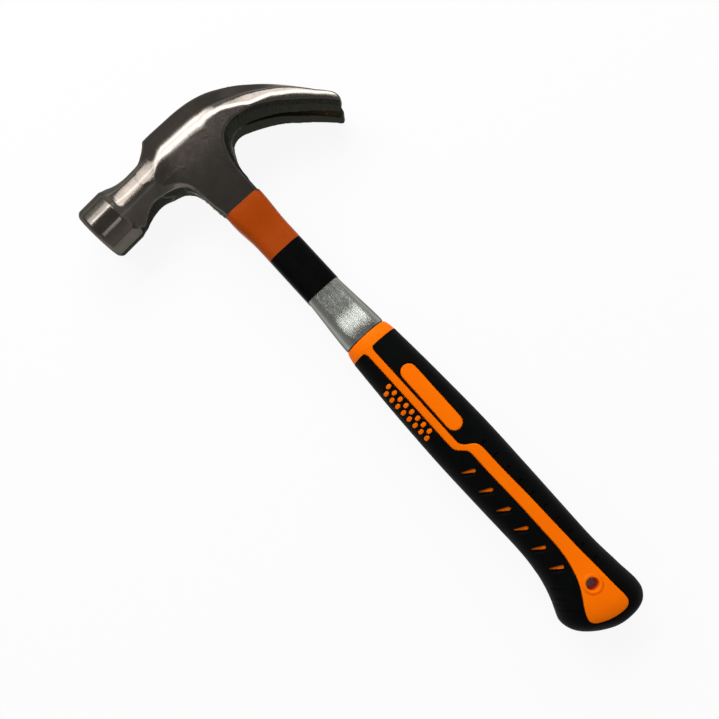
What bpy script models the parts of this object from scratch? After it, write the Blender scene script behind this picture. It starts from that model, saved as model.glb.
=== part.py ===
"""Claw hammer with a drop-forged head on a tubular steel handle and a two-shot grip.

The hammer lies on its side. X runs along the handle from the butt to the crown, Y across it
towards the striking face, and Z is the thickness. The assembly is laid out from the butt end
on the handle's axis, and an empty then stands it on the ground with its box centred.
"""

import math

import bmesh
import bpy
from mathutils import Vector

mm = 0.001

# Overall sizes
overall_length = 336.0 * mm
head_thickness = 31.8 * mm      # across the claws, the bell and the butt, which it rests on
fit_gap = 0.3 * mm              # between pieces that touch on the real hammer

# Head
crown_height = 20.2 * mm        # crown above the bell's axis
face_reach = 65.8 * mm          # handle's axis to the striking face
bell_length = 18.8 * mm
bell_lean = math.radians(3.0)   # the bell dips a little towards the grip
bell_sides = 12
bell_turn = math.radians(8.4)   # the ground flats are turned a little off square
face_chamfer = 1.8 * mm
neck_radius = 11.3 * mm
cheek_thickness = 24.0 * mm
claw_reach = 71.8 * mm          # handle's axis to the claws' tips
claw_tip_thickness = 5.6 * mm
claw_edge_thickness = 3.9 * mm  # the flat outer side of each claw
slot_root_width = 1.6 * mm
slot_tip_width = 8.6 * mm
slot_length = 47.5 * mm
skirt_length = 42.6 * mm        # socket's end below the bell's axis
skirt_width = 20.4 * mm
skirt_thickness = 19.4 * mm
skirt_bevel = 3.4 * mm
socket_depth = 41.0 * mm

# Handle tube
tube_wall = 1.6 * mm
spigot_width = 16.0 * mm        # the end that is driven into the head
spigot_thickness = 13.2 * mm
shank_width = 18.9 * mm
shank_thickness = 16.4 * mm
flare_width = 23.8 * mm         # where the tube meets the grip's collar
flare_thickness = 20.8 * mm
flare_run = 36.0 * mm           # the tube tapers to the shank over this length
tang_width = 18.8 * mm          # inside the grip
tang_thickness = 16.0 * mm
tang_end = 41.0 * mm            # the tube's lower end, from the butt
plug_length = 36.0 * mm
wedge_length = 20.0 * mm
wedge_width = 9.6 * mm
wedge_head = 2.6 * mm
wedge_tip = 0.9 * mm
end_cap_depth = 14.0 * mm
end_cap_flange = 2.0 * mm

# Label
label_wall = 0.3 * mm
label_gap = 0.2 * mm
label_above_grip = 31.5 * mm    # bare tube between the collar and the label
label_overlap = 2.2 * mm        # how far it laps over the socket

# Grip
grip_length = 184.3 * mm
collar_length = 6.6 * mm
tail_length = 44.0 * mm         # from the butt to where the grip's swell begins
cover_wall = 2.0 * mm
inlay_drop = 0.15 * mm          # the coloured inlays lie this far under the black skin
stripe_width = 3.7 * mm
lower_stripe_width = 5.6 * mm
stripe_step = 62.4 * mm         # from the collar to where the stripe steps across
pill_start = 21.4 * mm          # from the collar to the pill's first centre
pill_length = 32.4 * mm
pill_radius = 4.1 * mm
dots_start = 20.0 * mm          # from the collar to the first dot
dot_count = 8
dot_pitch = 4.15 * mm
dot_length = 2.9 * mm
dot_width = 2.2 * mm
slits_start = 77.1 * mm         # from the collar to the first slit
slits_end = 38.0 * mm           # no slit lies nearer to the butt than this
slit_pitch = 12.1 * mm
slit_end_radius = 1.0 * mm
slit_tip_radius = 0.3 * mm
hang_hole_x = 25.3 * mm
hang_hole_y = 0.4 * mm
hang_hole_radius = 3.1 * mm
eyelet_wall = 1.9 * mm
eyelet_stand = 0.3 * mm         # how far the eyelet stands out of the tail

half_thickness = head_thickness / 2
head_x = overall_length - crown_height
skirt_end_x = head_x - skirt_length
collar_rear_x = grip_length - collar_length
label_top_x = skirt_end_x + label_overlap


def make_material(name, colour, roughness, metallic=0.0):
    """A Principled material."""
    material = bpy.data.materials.new(name)
    material.use_nodes = True
    shader = material.node_tree.nodes["Principled BSDF"]
    shader.inputs["Base Color"].default_value = (*colour, 1.0)
    shader.inputs["Roughness"].default_value = roughness
    shader.inputs["Metallic"].default_value = metallic
    material.diffuse_color = (*colour, 1.0)
    return material


def add_object(name, bm, material=None):
    """Turn a bmesh into a named object with outward faces, smooth where it is round."""
    bmesh.ops.recalc_face_normals(bm, faces=bm.faces)
    mesh = bpy.data.meshes.new(name)
    bm.to_mesh(mesh)
    bm.free()
    mesh.shade_smooth()
    mesh.set_sharp_from_angle(angle=math.radians(28))
    if material is not None:
        mesh.materials.append(material)
    obj = bpy.data.objects.new(name, mesh)
    bpy.context.scene.collection.objects.link(obj)
    obj.parent = frame
    return obj


def loft_into(bm, rings):
    """Skin a list of equal rings of points and close both ends."""
    rows = [[bm.verts.new(point) for point in ring] for ring in rings]
    count = len(rows[0])
    for low, high in zip(rows, rows[1:]):
        for i in range(count):
            j = (i + 1) % count
            bm.faces.new((low[i], low[j], high[j], high[i]))
    bm.faces.new(rows[0])
    bm.faces.new(rows[-1])


def loft(name, rings, material=None):
    """A closed solid skinned over its rings."""
    bm = bmesh.new()
    loft_into(bm, rings)
    return add_object(name, bm, material)


def sleeve(name, outer, inner, material=None):
    """A hollow piece: outer rings, inner rings, and an annulus at each end."""
    bm = bmesh.new()
    loops = list(outer) + list(reversed(inner))
    rows = [[bm.verts.new(point) for point in ring] for ring in loops]
    count = len(rows[0])
    for low, high in zip(rows, rows[1:] + rows[:1]):
        for i in range(count):
            j = (i + 1) % count
            bm.faces.new((low[i], low[j], high[j], high[i]))
    return add_object(name, bm, material)


def boolean(target, cutter, operation):
    """Combine two solids and leave the cutter as a hidden guide."""
    modifier = target.modifiers.new(cutter.name, "BOOLEAN")
    modifier.operation = operation
    modifier.solver = "EXACT"
    modifier.object = cutter
    cutter.hide_render = True
    cutter.display_type = "WIRE"


def rounded_ring(x, y_low, y_high, z_half, radius, arc_steps=4):
    """A rounded rectangle across the handle."""
    radius = min(radius, (y_high - y_low) / 2 * 0.98, z_half * 0.98)
    corners = (
        (y_high - radius, z_half - radius, 0.0),
        (y_low + radius, z_half - radius, 90.0),
        (y_low + radius, radius - z_half, 180.0),
        (y_high - radius, radius - z_half, 270.0),
    )
    points = []
    for y, z, start in corners:
        for step in range(arc_steps + 1):
            angle = math.radians(start + 90.0 * step / arc_steps)
            points.append(Vector((x, y + radius * math.cos(angle), z + radius * math.sin(angle))))
    return points


def oval_ring(x, y_low, y_high, z_half, squareness=2.35, count=36):
    """A superellipse across the handle: |y/a|^n + |z/b|^n = 1."""
    centre = (y_low + y_high) / 2
    y_half = (y_high - y_low) / 2
    points = []
    for i in range(count):
        angle = math.tau * i / count
        c = math.cos(angle)
        s = math.sin(angle)
        y = math.copysign(abs(c) ** (2 / squareness), c) * y_half
        z = math.copysign(abs(s) ** (2 / squareness), s) * z_half
        points.append(Vector((x, centre + y, z)))
    return points


def catmull_rom(a, b, c, d, t):
    """The point at t between b and c on a smooth curve through four points."""
    return 0.5 * (
        2 * b + (c - a) * t
        + (2 * a - 5 * b + 4 * c - d) * t * t
        + (3 * b - a - 3 * c + d) * t ** 3
    )


def smooth_rings(stations, steps):
    """Rings between the stations, each point on a smooth curve kept within the head's box."""
    def clamp(point):
        z = max(-half_thickness, min(half_thickness, point.z))
        return Vector((min(point.x, overall_length), point.y, z))

    rings = []
    last = len(stations) - 1
    for i in range(last):
        around = [stations[max(i - 1, 0)], stations[i], stations[i + 1], stations[min(i + 2, last)]]
        for step in range(steps):
            t = step / steps
            rings.append([clamp(catmull_rom(*points, t)) for points in zip(*around)])
    rings.append(stations[last])
    return rings


# Head

def bell_ring(reach, radius):
    """The bell's turned polygon, reach out from the handle along the leaning bell axis."""
    centre_x = head_x - (reach - bell_middle) * math.sin(bell_lean)
    ring = []
    for i in range(bell_sides):
        angle = math.tau * (i - bell_sides / 4 + 0.5) / bell_sides + bell_turn
        along = -radius * math.sin(angle)
        ring.append(Vector((
            centre_x + along * math.cos(bell_lean),
            reach + along * math.sin(bell_lean),
            radius * math.cos(angle),
        )))
    return ring


def head_ring(crown, under, profile):
    """A mirrored section from a crown point to an underside point, given its half profile.

    Each profile pair is a share of the way down from the crown and a half thickness.
    """
    start = Vector((head_x + crown[0] * mm, crown[1] * mm, 0.0))
    end = Vector((head_x + under[0] * mm, under[1] * mm, 0.0))
    half = [start.lerp(end, share) + Vector((0.0, 0.0, z)) for share, z in profile]
    mirrored = [Vector((point.x, point.y, -point.z)) for point in reversed(half)]
    return half + mirrored


def cheek_profile(depth):
    """The thick middle: a long bevel up to the crown and a short one below."""
    cheek = cheek_thickness / 2
    crown_bevel = 14.0 * mm
    return (
        (0.0, 2.6 * mm),
        (1.5 * mm / depth, 6.2 * mm),
        (crown_bevel / depth, cheek),
        (1 - 4.5 * mm / depth, cheek),
        (1 - 0.8 * mm / depth, 7.0 * mm),
        (1.0, 4.6 * mm),
    )


def claw_profile(depth, ridge, ridge_half):
    """A claw section: convex on top, with flat sides and a flat underside."""
    return (
        (0.0, 3.0 * mm),
        (0.07, 7.5 * mm),
        (ridge / depth, ridge_half),
        (1 - claw_edge_thickness / depth, half_thickness),
        (1.0, half_thickness),
        (1.0, 6.0 * mm),
    )


def head_stations():
    """Sections from the neck's waist over the cheeks to the claws' tips."""
    waist = [bell_ring(reach * mm, neck_radius * scale)
             for reach, scale in ((44.0, 1.13), (40.5, 1.02), (35.5, 0.985), (30.5, 1.0))]
    claw_tip = -claw_reach / mm
    cheeks = (
        ((14.2, 24.0), (-11.2, 24.0), (
            (0.0, 2.8 * mm), (0.14, 7.6 * mm), (0.36, 11.2 * mm),
            (0.70, 11.4 * mm), (0.93, 8.0 * mm), (1.0, 4.0 * mm))),
        ((crown_height / mm, 16.6), (-13.5, 18.0), cheek_profile(33.7 * mm)),
        ((crown_height / mm, 1.0), (-14.5, 1.0), cheek_profile(34.7 * mm)),
        ((19.4, -13.5), (-10.5, -14.5), cheek_profile(30.0 * mm)),
        ((15.2, -27.0), (-6.6, -23.0), (
            (0.0, 2.8 * mm), (0.06, 6.8 * mm), (0.52, 12.4 * mm),
            (0.80, 13.8 * mm), (0.99, 14.2 * mm), (1.0, 5.0 * mm))),
        ((9.2, -37.6), (-8.0, -30.8), claw_profile(18.4 * mm, 9.6 * mm, 13.0 * mm)),
        ((3.2, -45.2), (-11.2, -38.0), claw_profile(16.1 * mm, 7.6 * mm, 13.2 * mm)),
        ((-5.0, -53.2), (-15.6, -45.3), claw_profile(13.2 * mm, 5.6 * mm, 13.4 * mm)),
        ((-14.4, -60.9), (-22.6, -53.6), claw_profile(11.0 * mm, 4.2 * mm, 13.6 * mm)),
        ((-24.0, -67.4), (-30.2, -61.3), claw_profile(8.7 * mm, 2.8 * mm, 13.8 * mm)),
    )
    stations = waist + [head_ring(*station) for station in cheeks]
    tip_top = (-33.6, claw_tip)
    tip_low = (tip_top[0] - claw_tip_thickness / mm * 0.72, claw_tip + claw_tip_thickness / mm * 0.69)
    stations.append(head_ring(tip_top, tip_low, claw_profile(claw_tip_thickness, 1.0 * mm, 13.8 * mm)))
    return stations


def skirt_rings():
    """The socket below the cheeks, wide where it springs from them."""
    width = skirt_width / 2
    low = -width + 0.1 * mm
    high = width + 0.1 * mm
    z_end = skirt_thickness / 2
    z_top = cheek_thickness / 2 - 0.15 * mm
    stations = (
        (skirt_end_x, low, high, z_end),
        (head_x - 37.0 * mm, low - 0.4 * mm, high + 1.3 * mm, z_end + 0.7 * mm),
        (head_x - 31.0 * mm, low - 0.7 * mm, high + 2.1 * mm, z_end + 1.3 * mm),
        (head_x - 25.0 * mm, low - 1.2 * mm, high + 2.7 * mm, z_end + 1.8 * mm),
        (head_x - 19.5 * mm, low - 2.8 * mm, high + 3.8 * mm, z_top),
        (head_x - 15.5 * mm, low - 4.6 * mm, high + 5.6 * mm, z_top),
        (head_x - 12.0 * mm, low - 6.8 * mm, high + 8.8 * mm, z_top),
        (head_x - 9.0 * mm, low - 8.8 * mm, high + 11.4 * mm, z_top),
        (head_x - 2.0 * mm, low - 8.8 * mm, high + 8.4 * mm, z_top - 1.0 * mm),
    )
    return [rounded_ring(x, y_low, y_high, z, skirt_bevel, 3) for x, y_low, y_high, z in stations]


def claw_slot():
    """The nail slot: a wedge that widens from its root to the tips."""
    root = Vector((head_x - 7.2 * mm, -30.6 * mm, 0.0))
    along = Vector((-0.588, -0.809, 0.0))
    across = Vector((0.809, -0.588, 0.0)) * 24.0 * mm
    over_run = 1.25
    rings = []
    for share in (0.0, over_run):
        centre = root + along * slot_length * share
        width = slot_root_width + (slot_tip_width - slot_root_width) * share
        up = Vector((0.0, 0.0, width / 2))
        rings.append([centre - across - up, centre + across - up, centre + across + up, centre - across + up])
    return loft("claw_slot_cutter", rings)


def make_head():
    """The forging: bell, neck, cheeks and claws, with the socket and the slot."""
    back = bell_middle - bell_length / 2
    front = bell_middle + bell_length / 2
    bell = [
        bell_ring(front, bell_radius - face_chamfer),
        bell_ring(front - face_chamfer, bell_radius),
        bell_ring(back, bell_radius),
        bell_ring(back - 2.2 * mm, bell_radius * 0.86),
    ]
    head = loft("head", bell + smooth_rings(head_stations(), 2), forged)
    boolean(head, loft("skirt", skirt_rings()), "UNION")
    boolean(head, claw_slot(), "DIFFERENCE")
    socket = [
        rounded_ring(x, -spigot_width / 2 - fit_gap, spigot_width / 2 + fit_gap,
                     spigot_thickness / 2 + fit_gap, corner_radius)
        for x in (skirt_end_x - 1.0 * mm, skirt_end_x + socket_depth)
    ]
    boolean(head, loft("socket_cutter", socket), "DIFFERENCE")
    return head


# Handle

def tube_stations():
    """The tube from its lower end to its top: x, half width, half thickness, corner radius."""
    shoulder = skirt_end_x - fit_gap
    seat = grip_length + fit_gap
    shank = (shank_width / 2, shank_thickness / 2)
    flare = (flare_width / 2, flare_thickness / 2)
    tang = (tang_width / 2, tang_thickness / 2)
    spigot = (spigot_width / 2, spigot_thickness / 2)
    stations = [(tang_end, *tang, tang_corner), (seat, *tang, tang_corner)]
    bulge = (0.0, 0.26, 0.48, 0.66, 0.80, 0.90, 0.97, 1.0)
    for i, share in enumerate(bulge):
        x = seat + flare_run * i / (len(bulge) - 1)
        width = flare[0] + (shank[0] - flare[0]) * share
        thickness = flare[1] + (shank[1] - flare[1]) * share
        corner = corner_radius + 3.5 * mm * (1 - share)
        stations.append((x, width, thickness, corner))
    stations.append((shoulder, *shank, corner_radius))
    stations.append((shoulder, *spigot, corner_radius))
    stations.append((skirt_end_x + socket_depth - fit_gap, *spigot, corner_radius))
    return stations


def tube_rings(grow):
    """The tube's outer rings, grown by a gap or shrunk by its wall."""
    return [rounded_ring(x, -y - grow, y + grow, z + grow, radius + grow)
            for x, y, z, radius in tube_stations()]


def bore_half(width, thickness, gap):
    """Half sizes of what fits in the tube with a gap all round."""
    return width / 2 - tube_wall - gap, thickness / 2 - tube_wall - gap


def make_handle_tube():
    """The drawn tube, open at both ends, with a seat for the grip and a spigot for the head."""
    inner = tube_rings(-tube_wall)
    for ring_index, shift in ((1, -tube_wall), (-3, -tube_wall), (-2, -tube_wall)):
        for point in inner[ring_index]:
            point.x += shift
    for point in inner[2]:
        point.x += tube_wall
    return sleeve("handle_tube", tube_rings(0.0), inner, steel)


def make_socket_plug():
    """The hardwood plug that stiffens the spigot, sawn for its wedge."""
    y, z = bore_half(spigot_width, spigot_thickness, fit_gap)
    top = skirt_end_x + socket_depth - 2 * fit_gap
    radius = corner_radius - tube_wall
    rings = [rounded_ring(x, -y + inset, y - inset, z - inset, radius)
             for x, inset in ((top - plug_length, 1.0 * mm), (top - plug_length + 2.0 * mm, 0.0), (top, 0.0))]
    plug = loft("socket_plug", rings, hardwood)
    kerf = [rounded_ring(x, -z_half, z_half, wedge_width / 2 + fit_gap, 0.2 * mm)
            for x, z_half in ((top - wedge_length - 1.0 * mm, wedge_tip / 2 + fit_gap),
                              (top + 1.0 * mm, wedge_head / 2 + fit_gap))]
    boolean(plug, loft("kerf_cutter", kerf), "DIFFERENCE")
    return plug


def make_fox_wedge():
    """The steel wedge that the socket's blind end drives into the plug."""
    top = skirt_end_x + socket_depth - fit_gap
    half = wedge_width / 2 - 0.4 * mm
    rings = [rounded_ring(x, -y, y, half, 0.2 * mm)
             for x, y in ((top - wedge_length, wedge_tip / 2),
                          (top, (wedge_head - 2 * fit_gap) / 2))]
    return loft("fox_wedge", rings, bright_steel)


def make_label_sleeve():
    """The printed band round the shank, lapped over the socket's end."""
    bottom = grip_length + label_above_grip
    half_width = shank_width / 2
    half_depth = shank_thickness / 2
    skirt_low = -skirt_width / 2 - 0.1 * mm
    skirt_high = skirt_width / 2 + 0.6 * mm
    skirt_deep = skirt_thickness / 2 + 0.3 * mm
    stations = (
        (bottom, -half_width, half_width, half_depth, corner_radius),
        (skirt_end_x - 5.0 * mm, -half_width, half_width, half_depth, corner_radius),
        (skirt_end_x - 0.6 * mm, skirt_low, skirt_high - 0.4 * mm, skirt_deep - 0.2 * mm, skirt_bevel),
        (label_top_x, skirt_low, skirt_high, skirt_deep, skirt_bevel),
    )

    def rings(grow):
        return [rounded_ring(x, low - grow, high + grow, z + grow, corner + grow)
                for x, low, high, z, corner in stations]

    return sleeve("label_sleeve", rings(label_gap + label_wall), rings(label_gap), printed)


# Grip

def grip_stations():
    """The grip's outside from the butt to the collar: x, right side, left side, half thickness."""
    butt = half_thickness / mm
    tail = (
        (0.0, -6.4, 0.2, butt - 12.0), (1.3, -11.4, 5.2, butt - 7.2), (3.2, -14.4, 9.6, butt - 4.1),
        (6.6, -16.6, 15.2, butt - 1.7), (11.0, -17.2, 20.2, butt - 0.4), (15.5, -16.9, 22.8, butt),
        (20.2, -16.4, 23.5, butt - 0.1), (24.8, -16.1, 21.8, butt - 0.4), (29.6, -15.7, 19.8, butt - 0.9),
        (36.0, -15.3, 17.8, butt - 1.5), (tail_length / mm, -15.2, 16.2, butt - 2.0),
    )
    swell = (
        (0.102, -15.4, 15.2, butt - 2.4), (0.318, -15.9, 15.6, butt - 2.5), (0.534, -16.1, 15.8, butt - 2.3),
        (0.755, -15.2, 15.1, butt - 2.6), (0.904, -14.3, 14.2, butt - 3.2), (1.0, -13.6, 13.5, butt - 3.8),
    )
    run = collar_rear_x - tail_length
    return tail + tuple(((tail_length + share * run) / mm, *sides) for share, *sides in swell)


def grip_rings(inset, front_gap=0.0):
    """The grip's rings moved inwards by a wall, up to the collar's rear face."""
    end_zone = 22.0 * mm
    rings = []
    for x, right, left, half in grip_stations():
        station = x * mm
        station += inset * max(0.0, 1 - station / end_zone)
        rings.append((station, right * mm + inset, left * mm - inset, half * mm - inset))
    last = rings[-1]
    rings[-1] = (last[0] - front_gap, *last[1:])
    return [oval_ring(*ring) for ring in rings]


def prism_into(bm, outline, low, high):
    """Extrude a plan outline between two heights."""
    loft_into(bm, [[Vector((x, y, z)) for x, y in outline] for z in (low, high)])


def capsule_outline(start, end, start_radius, end_radius, steps=4):
    """A pill shape round two points, with its own radius at each."""
    heading = math.atan2(end[1] - start[1], end[0] - start[0])
    outline = []
    for centre, radius, turn in ((end, end_radius, -0.5 * math.pi), (start, start_radius, 0.5 * math.pi)):
        for step in range(steps + 1):
            angle = heading + turn + math.pi * step / steps
            outline.append((centre[0] + radius * math.cos(angle), centre[1] + radius * math.sin(angle)))
    return outline


def offset_outline(outline, grow):
    """Move each side of a counter-clockwise outline outwards by grow."""
    count = len(outline)
    moved = []
    for i in range(count):
        before = Vector(outline[i - 1])
        here = Vector(outline[i])
        after = Vector(outline[(i + 1) % count])
        first = (here - before).normalized()
        second = (after - here).normalized()
        normal = Vector((first.y + second.y, -first.x - second.x)).normalized()
        stretch = 1 / max(0.5, normal.dot(Vector((first.y, -first.x))))
        moved.append(tuple(here + normal * grow * stretch))
    return moved


def stripe_outline():
    """The stripe that leaves the collar, steps across, and flares into the tail."""
    upper = stripe_width / 2
    lower = lower_stripe_width / 2
    step = collar_rear_x - stripe_step
    line = (
        (collar_rear_x + 2.0 * mm, 3.8 * mm, upper), (step, 4.1 * mm, upper),
        (step - 2.9 * mm, 2.3 * mm, upper + 0.3 * mm), (step - 5.3 * mm, -1.0 * mm, lower - 0.2 * mm),
        (step - 8.5 * mm, -2.3 * mm, lower), (72.0 * mm, -2.7 * mm, lower),
        (48.0 * mm, -2.0 * mm, lower + 0.5 * mm), (36.0 * mm, -1.0 * mm, lower + 1.6 * mm),
        (25.5 * mm, 0.9 * mm, lower + 3.7 * mm), (17.6 * mm, 3.3 * mm, lower + 6.1 * mm),
    )
    left = [(x, y + half) for x, y, half in line]
    right = [(x, y - half) for x, y, half in line]
    end = [(14.0, 12.4), (12.0, 12.1), (9.0, 7.8), (7.2, 2.7), (6.8, -2.6), (7.2, -5.8), (9.0, -7.0), (12.5, -7.0)]
    return left + [(x * mm, y * mm) for x, y in end] + list(reversed(right))


def inlay_outlines():
    """Every coloured patch on one side of the grip, in plan."""
    pill_top = collar_rear_x - pill_start
    pill = capsule_outline((pill_top - pill_length, -3.3 * mm), (pill_top, -3.7 * mm), pill_radius, pill_radius, 8)
    outlines = [stripe_outline(), pill]
    first_dot = collar_rear_x - dots_start
    for row_start, row_y in ((first_dot, 8.4 * mm), (first_dot - 1.7 * mm, 11.6 * mm)):
        for i in range(dot_count):
            x = row_start - i * dot_pitch
            reach = (dot_length - dot_width) / 2
            outlines.append(capsule_outline((x, row_y - reach), (x, row_y + reach), dot_width / 2, dot_width / 2, 3))
    first_slit = collar_rear_x - slits_start
    for i in range(int((first_slit - slits_end) / slit_pitch) + 1):
        x = first_slit - i * slit_pitch
        outlines.append(capsule_outline((x, 5.4 * mm), (x + 3.4 * mm, 11.4 * mm),
                                        slit_end_radius, slit_tip_radius, 3))
    return outlines


def inlay_prisms(name, grow, low):
    """Both sides' patches as prisms, grown by a gap."""
    high = half_thickness + 4.0 * mm
    bm = bmesh.new()
    for outline in inlay_outlines():
        for bottom, top in ((low, high), (-high, -low)):
            prism_into(bm, offset_outline(outline, grow), bottom, top)
    return add_object(name, bm)


def make_grip_core():
    """The hard inner shot: collar, body round the tube, and the raised inlays."""
    inset = cover_wall + fit_gap
    body = grip_rings(inset)
    last = grip_stations()[-1]
    collar = []
    for share in (0.0, 0.5, 1.0):
        x = collar_rear_x + collar_length * share
        narrow = 1.3 * mm * share
        collar.append(oval_ring(x, last[1] * mm + narrow, last[2] * mm - narrow, last[3] * mm - narrow))
    core = loft("grip_core", body + collar, orange)
    inlays = inlay_prisms("inlay_guide", 0.0, 2.0 * mm)
    boolean(inlays, loft("inlay_skin", grip_rings(inlay_drop)), "INTERSECT")
    boolean(core, inlays, "UNION")
    cavity = tube_rings(fit_gap)[:2]
    for point in cavity[0]:
        point.x -= end_cap_flange + 2 * fit_gap
    for point in cavity[1]:
        point.x += 2.0 * mm
    boolean(core, loft("tang_cutter", cavity), "DIFFERENCE")
    boolean(core, disc_stack("eyelet_hole_cutter", eyelet_radius + fit_gap, 2 * half_thickness), "DIFFERENCE")
    return core


def make_grip_cover():
    """The soft black outer shot, closed round the butt, with a window for every inlay."""
    cover = loft("grip_cover", grip_rings(0.0, fit_gap), rubber)
    cavity = grip_rings(cover_wall)
    cavity.append([point + Vector((3.0 * mm, 0.0, 0.0)) for point in cavity[-1]])
    boolean(cover, loft("cover_cavity_cutter", cavity), "DIFFERENCE")
    boolean(cover, inlay_prisms("window_cutter", fit_gap, 2.0 * mm), "DIFFERENCE")
    return cover


def disc_stack(name, radius, length, material=None):
    """A plain round bar through the tail, on the hang hole's axis."""
    count = 32
    rings = []
    for z in (-length / 2, length / 2):
        rings.append([Vector((hang_hole_x + radius * math.cos(math.tau * i / count),
                              hang_hole_y + radius * math.sin(math.tau * i / count), z))
                      for i in range(count)])
    return loft(name, rings, material)


def make_hang_eyelet():
    """The bush that lines the hang hole, a little proud of the tail on both sides."""
    count = 32
    half = tail_half + eyelet_stand

    def ring(radius, z):
        return [Vector((hang_hole_x + radius * math.cos(math.tau * i / count),
                        hang_hole_y + radius * math.sin(math.tau * i / count), z)) for i in range(count)]

    edge = 0.5 * mm
    outer = [ring(eyelet_radius - edge, -half), ring(eyelet_radius, edge - half),
             ring(eyelet_radius, half - edge), ring(eyelet_radius - edge, half)]
    inner = [ring(hang_hole_radius + edge, -half), ring(hang_hole_radius, edge - half),
             ring(hang_hole_radius, half - edge), ring(hang_hole_radius + edge, half)]
    return sleeve("hang_eyelet", outer, inner, orange)


def make_tube_end_cap():
    """The cap that closes the tube's lower end inside the grip."""
    y, z = bore_half(tang_width, tang_thickness, fit_gap)
    flange_y = tang_width / 2
    flange_z = tang_thickness / 2
    face = tang_end - fit_gap
    rings = [
        rounded_ring(face - end_cap_flange, -flange_y, flange_y, flange_z, tang_corner),
        rounded_ring(face, -flange_y, flange_y, flange_z, tang_corner),
        rounded_ring(face, -y, y, z, tang_corner - tube_wall),
        rounded_ring(face + end_cap_depth, -y, y, z, tang_corner - tube_wall),
    ]
    return loft("tube_end_cap", rings, grey_plastic)


bell_radius = half_thickness / math.cos(math.pi / bell_sides - bell_turn)
bell_middle = face_reach - bell_length / 2
corner_radius = 4.2 * mm
tang_corner = 6.0 * mm
eyelet_radius = hang_hole_radius + eyelet_wall
tail_half = half_thickness - 0.45 * mm

for old in list(bpy.data.objects):
    bpy.data.objects.remove(old)

frame = bpy.data.objects.new("hammer_frame", None)
bpy.context.scene.collection.objects.link(frame)
face_edge = max(point.y for point in bell_ring(face_reach, bell_radius - face_chamfer))
frame.location = (-overall_length / 2, (claw_reach - face_edge) / 2, half_thickness)

forged = make_material("forged_steel", (0.17, 0.16, 0.15), 0.32, 1.0)
steel = make_material("tube_steel", (0.33, 0.33, 0.31), 0.35, 1.0)
bright_steel = make_material("wedge_steel", (0.55, 0.55, 0.55), 0.3, 1.0)
hardwood = make_material("hardwood", (0.55, 0.36, 0.18), 0.7)
printed = make_material("printed_film", (0.50, 0.07, 0.005), 0.35)
orange = make_material("orange_plastic", (1.0, 0.17, 0.0), 0.45)
rubber = make_material("black_rubber", (0.006, 0.006, 0.006), 0.8)
grey_plastic = make_material("grey_plastic", (0.25, 0.25, 0.26), 0.5)

make_head()
make_handle_tube()
make_socket_plug()
make_fox_wedge()
make_label_sleeve()
make_grip_core()
make_grip_cover()
make_hang_eyelet()
make_tube_end_cap()
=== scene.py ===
import math

import bmesh
import bpy
import numpy as np
from mathutils import Matrix, Vector
from mathutils.geometry import delaunay_2d_cdt


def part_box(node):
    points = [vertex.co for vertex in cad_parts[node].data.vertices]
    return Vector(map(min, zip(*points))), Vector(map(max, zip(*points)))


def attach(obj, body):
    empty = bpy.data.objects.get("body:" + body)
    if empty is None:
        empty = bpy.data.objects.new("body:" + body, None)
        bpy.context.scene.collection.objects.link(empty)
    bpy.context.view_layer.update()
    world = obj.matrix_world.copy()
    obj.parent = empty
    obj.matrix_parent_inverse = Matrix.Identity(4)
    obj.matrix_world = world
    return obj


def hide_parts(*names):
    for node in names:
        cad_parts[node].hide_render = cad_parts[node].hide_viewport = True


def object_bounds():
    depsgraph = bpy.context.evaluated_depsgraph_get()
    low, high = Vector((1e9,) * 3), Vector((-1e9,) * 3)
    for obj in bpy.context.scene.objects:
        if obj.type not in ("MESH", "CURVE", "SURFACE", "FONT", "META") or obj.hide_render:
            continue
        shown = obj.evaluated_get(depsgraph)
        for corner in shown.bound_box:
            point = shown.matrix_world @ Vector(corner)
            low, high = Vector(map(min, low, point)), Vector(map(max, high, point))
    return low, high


# Claw hammer lying on its side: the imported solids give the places, this file gives the looks.
# Shapes are worked out in millimetres: x from the butt towards the crown, y from the handle's
# axis towards the striking face, z from the middle plane. toWorld() sets them on the ground.

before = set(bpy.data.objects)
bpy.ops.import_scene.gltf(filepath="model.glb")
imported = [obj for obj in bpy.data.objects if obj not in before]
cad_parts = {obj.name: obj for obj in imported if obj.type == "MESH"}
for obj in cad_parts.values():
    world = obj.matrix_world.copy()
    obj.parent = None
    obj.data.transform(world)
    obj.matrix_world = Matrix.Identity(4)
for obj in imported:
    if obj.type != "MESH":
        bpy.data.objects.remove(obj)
cadLow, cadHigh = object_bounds()
print("frame loaded:", ", ".join(sorted(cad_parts)))

tubeLow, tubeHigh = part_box("handle_tube")
buttX = cadLow.x * 1000                              # the butt end in the world
axisY = (tubeLow.y + tubeHigh.y) * 500               # the handle's axis
middleZ = (tubeLow.z + tubeHigh.z) * 500             # the middle plane
headX = (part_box("head")[1].x - cadLow.x) * 1000 - 20.2   # the bell's axis, from the butt


def toWorld(points):
    # millimetres from the butt, the axis and the middle plane to metres in the world
    return (np.asarray(points, float) + [buttX, axisY, middleZ]) / 1000


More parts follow.
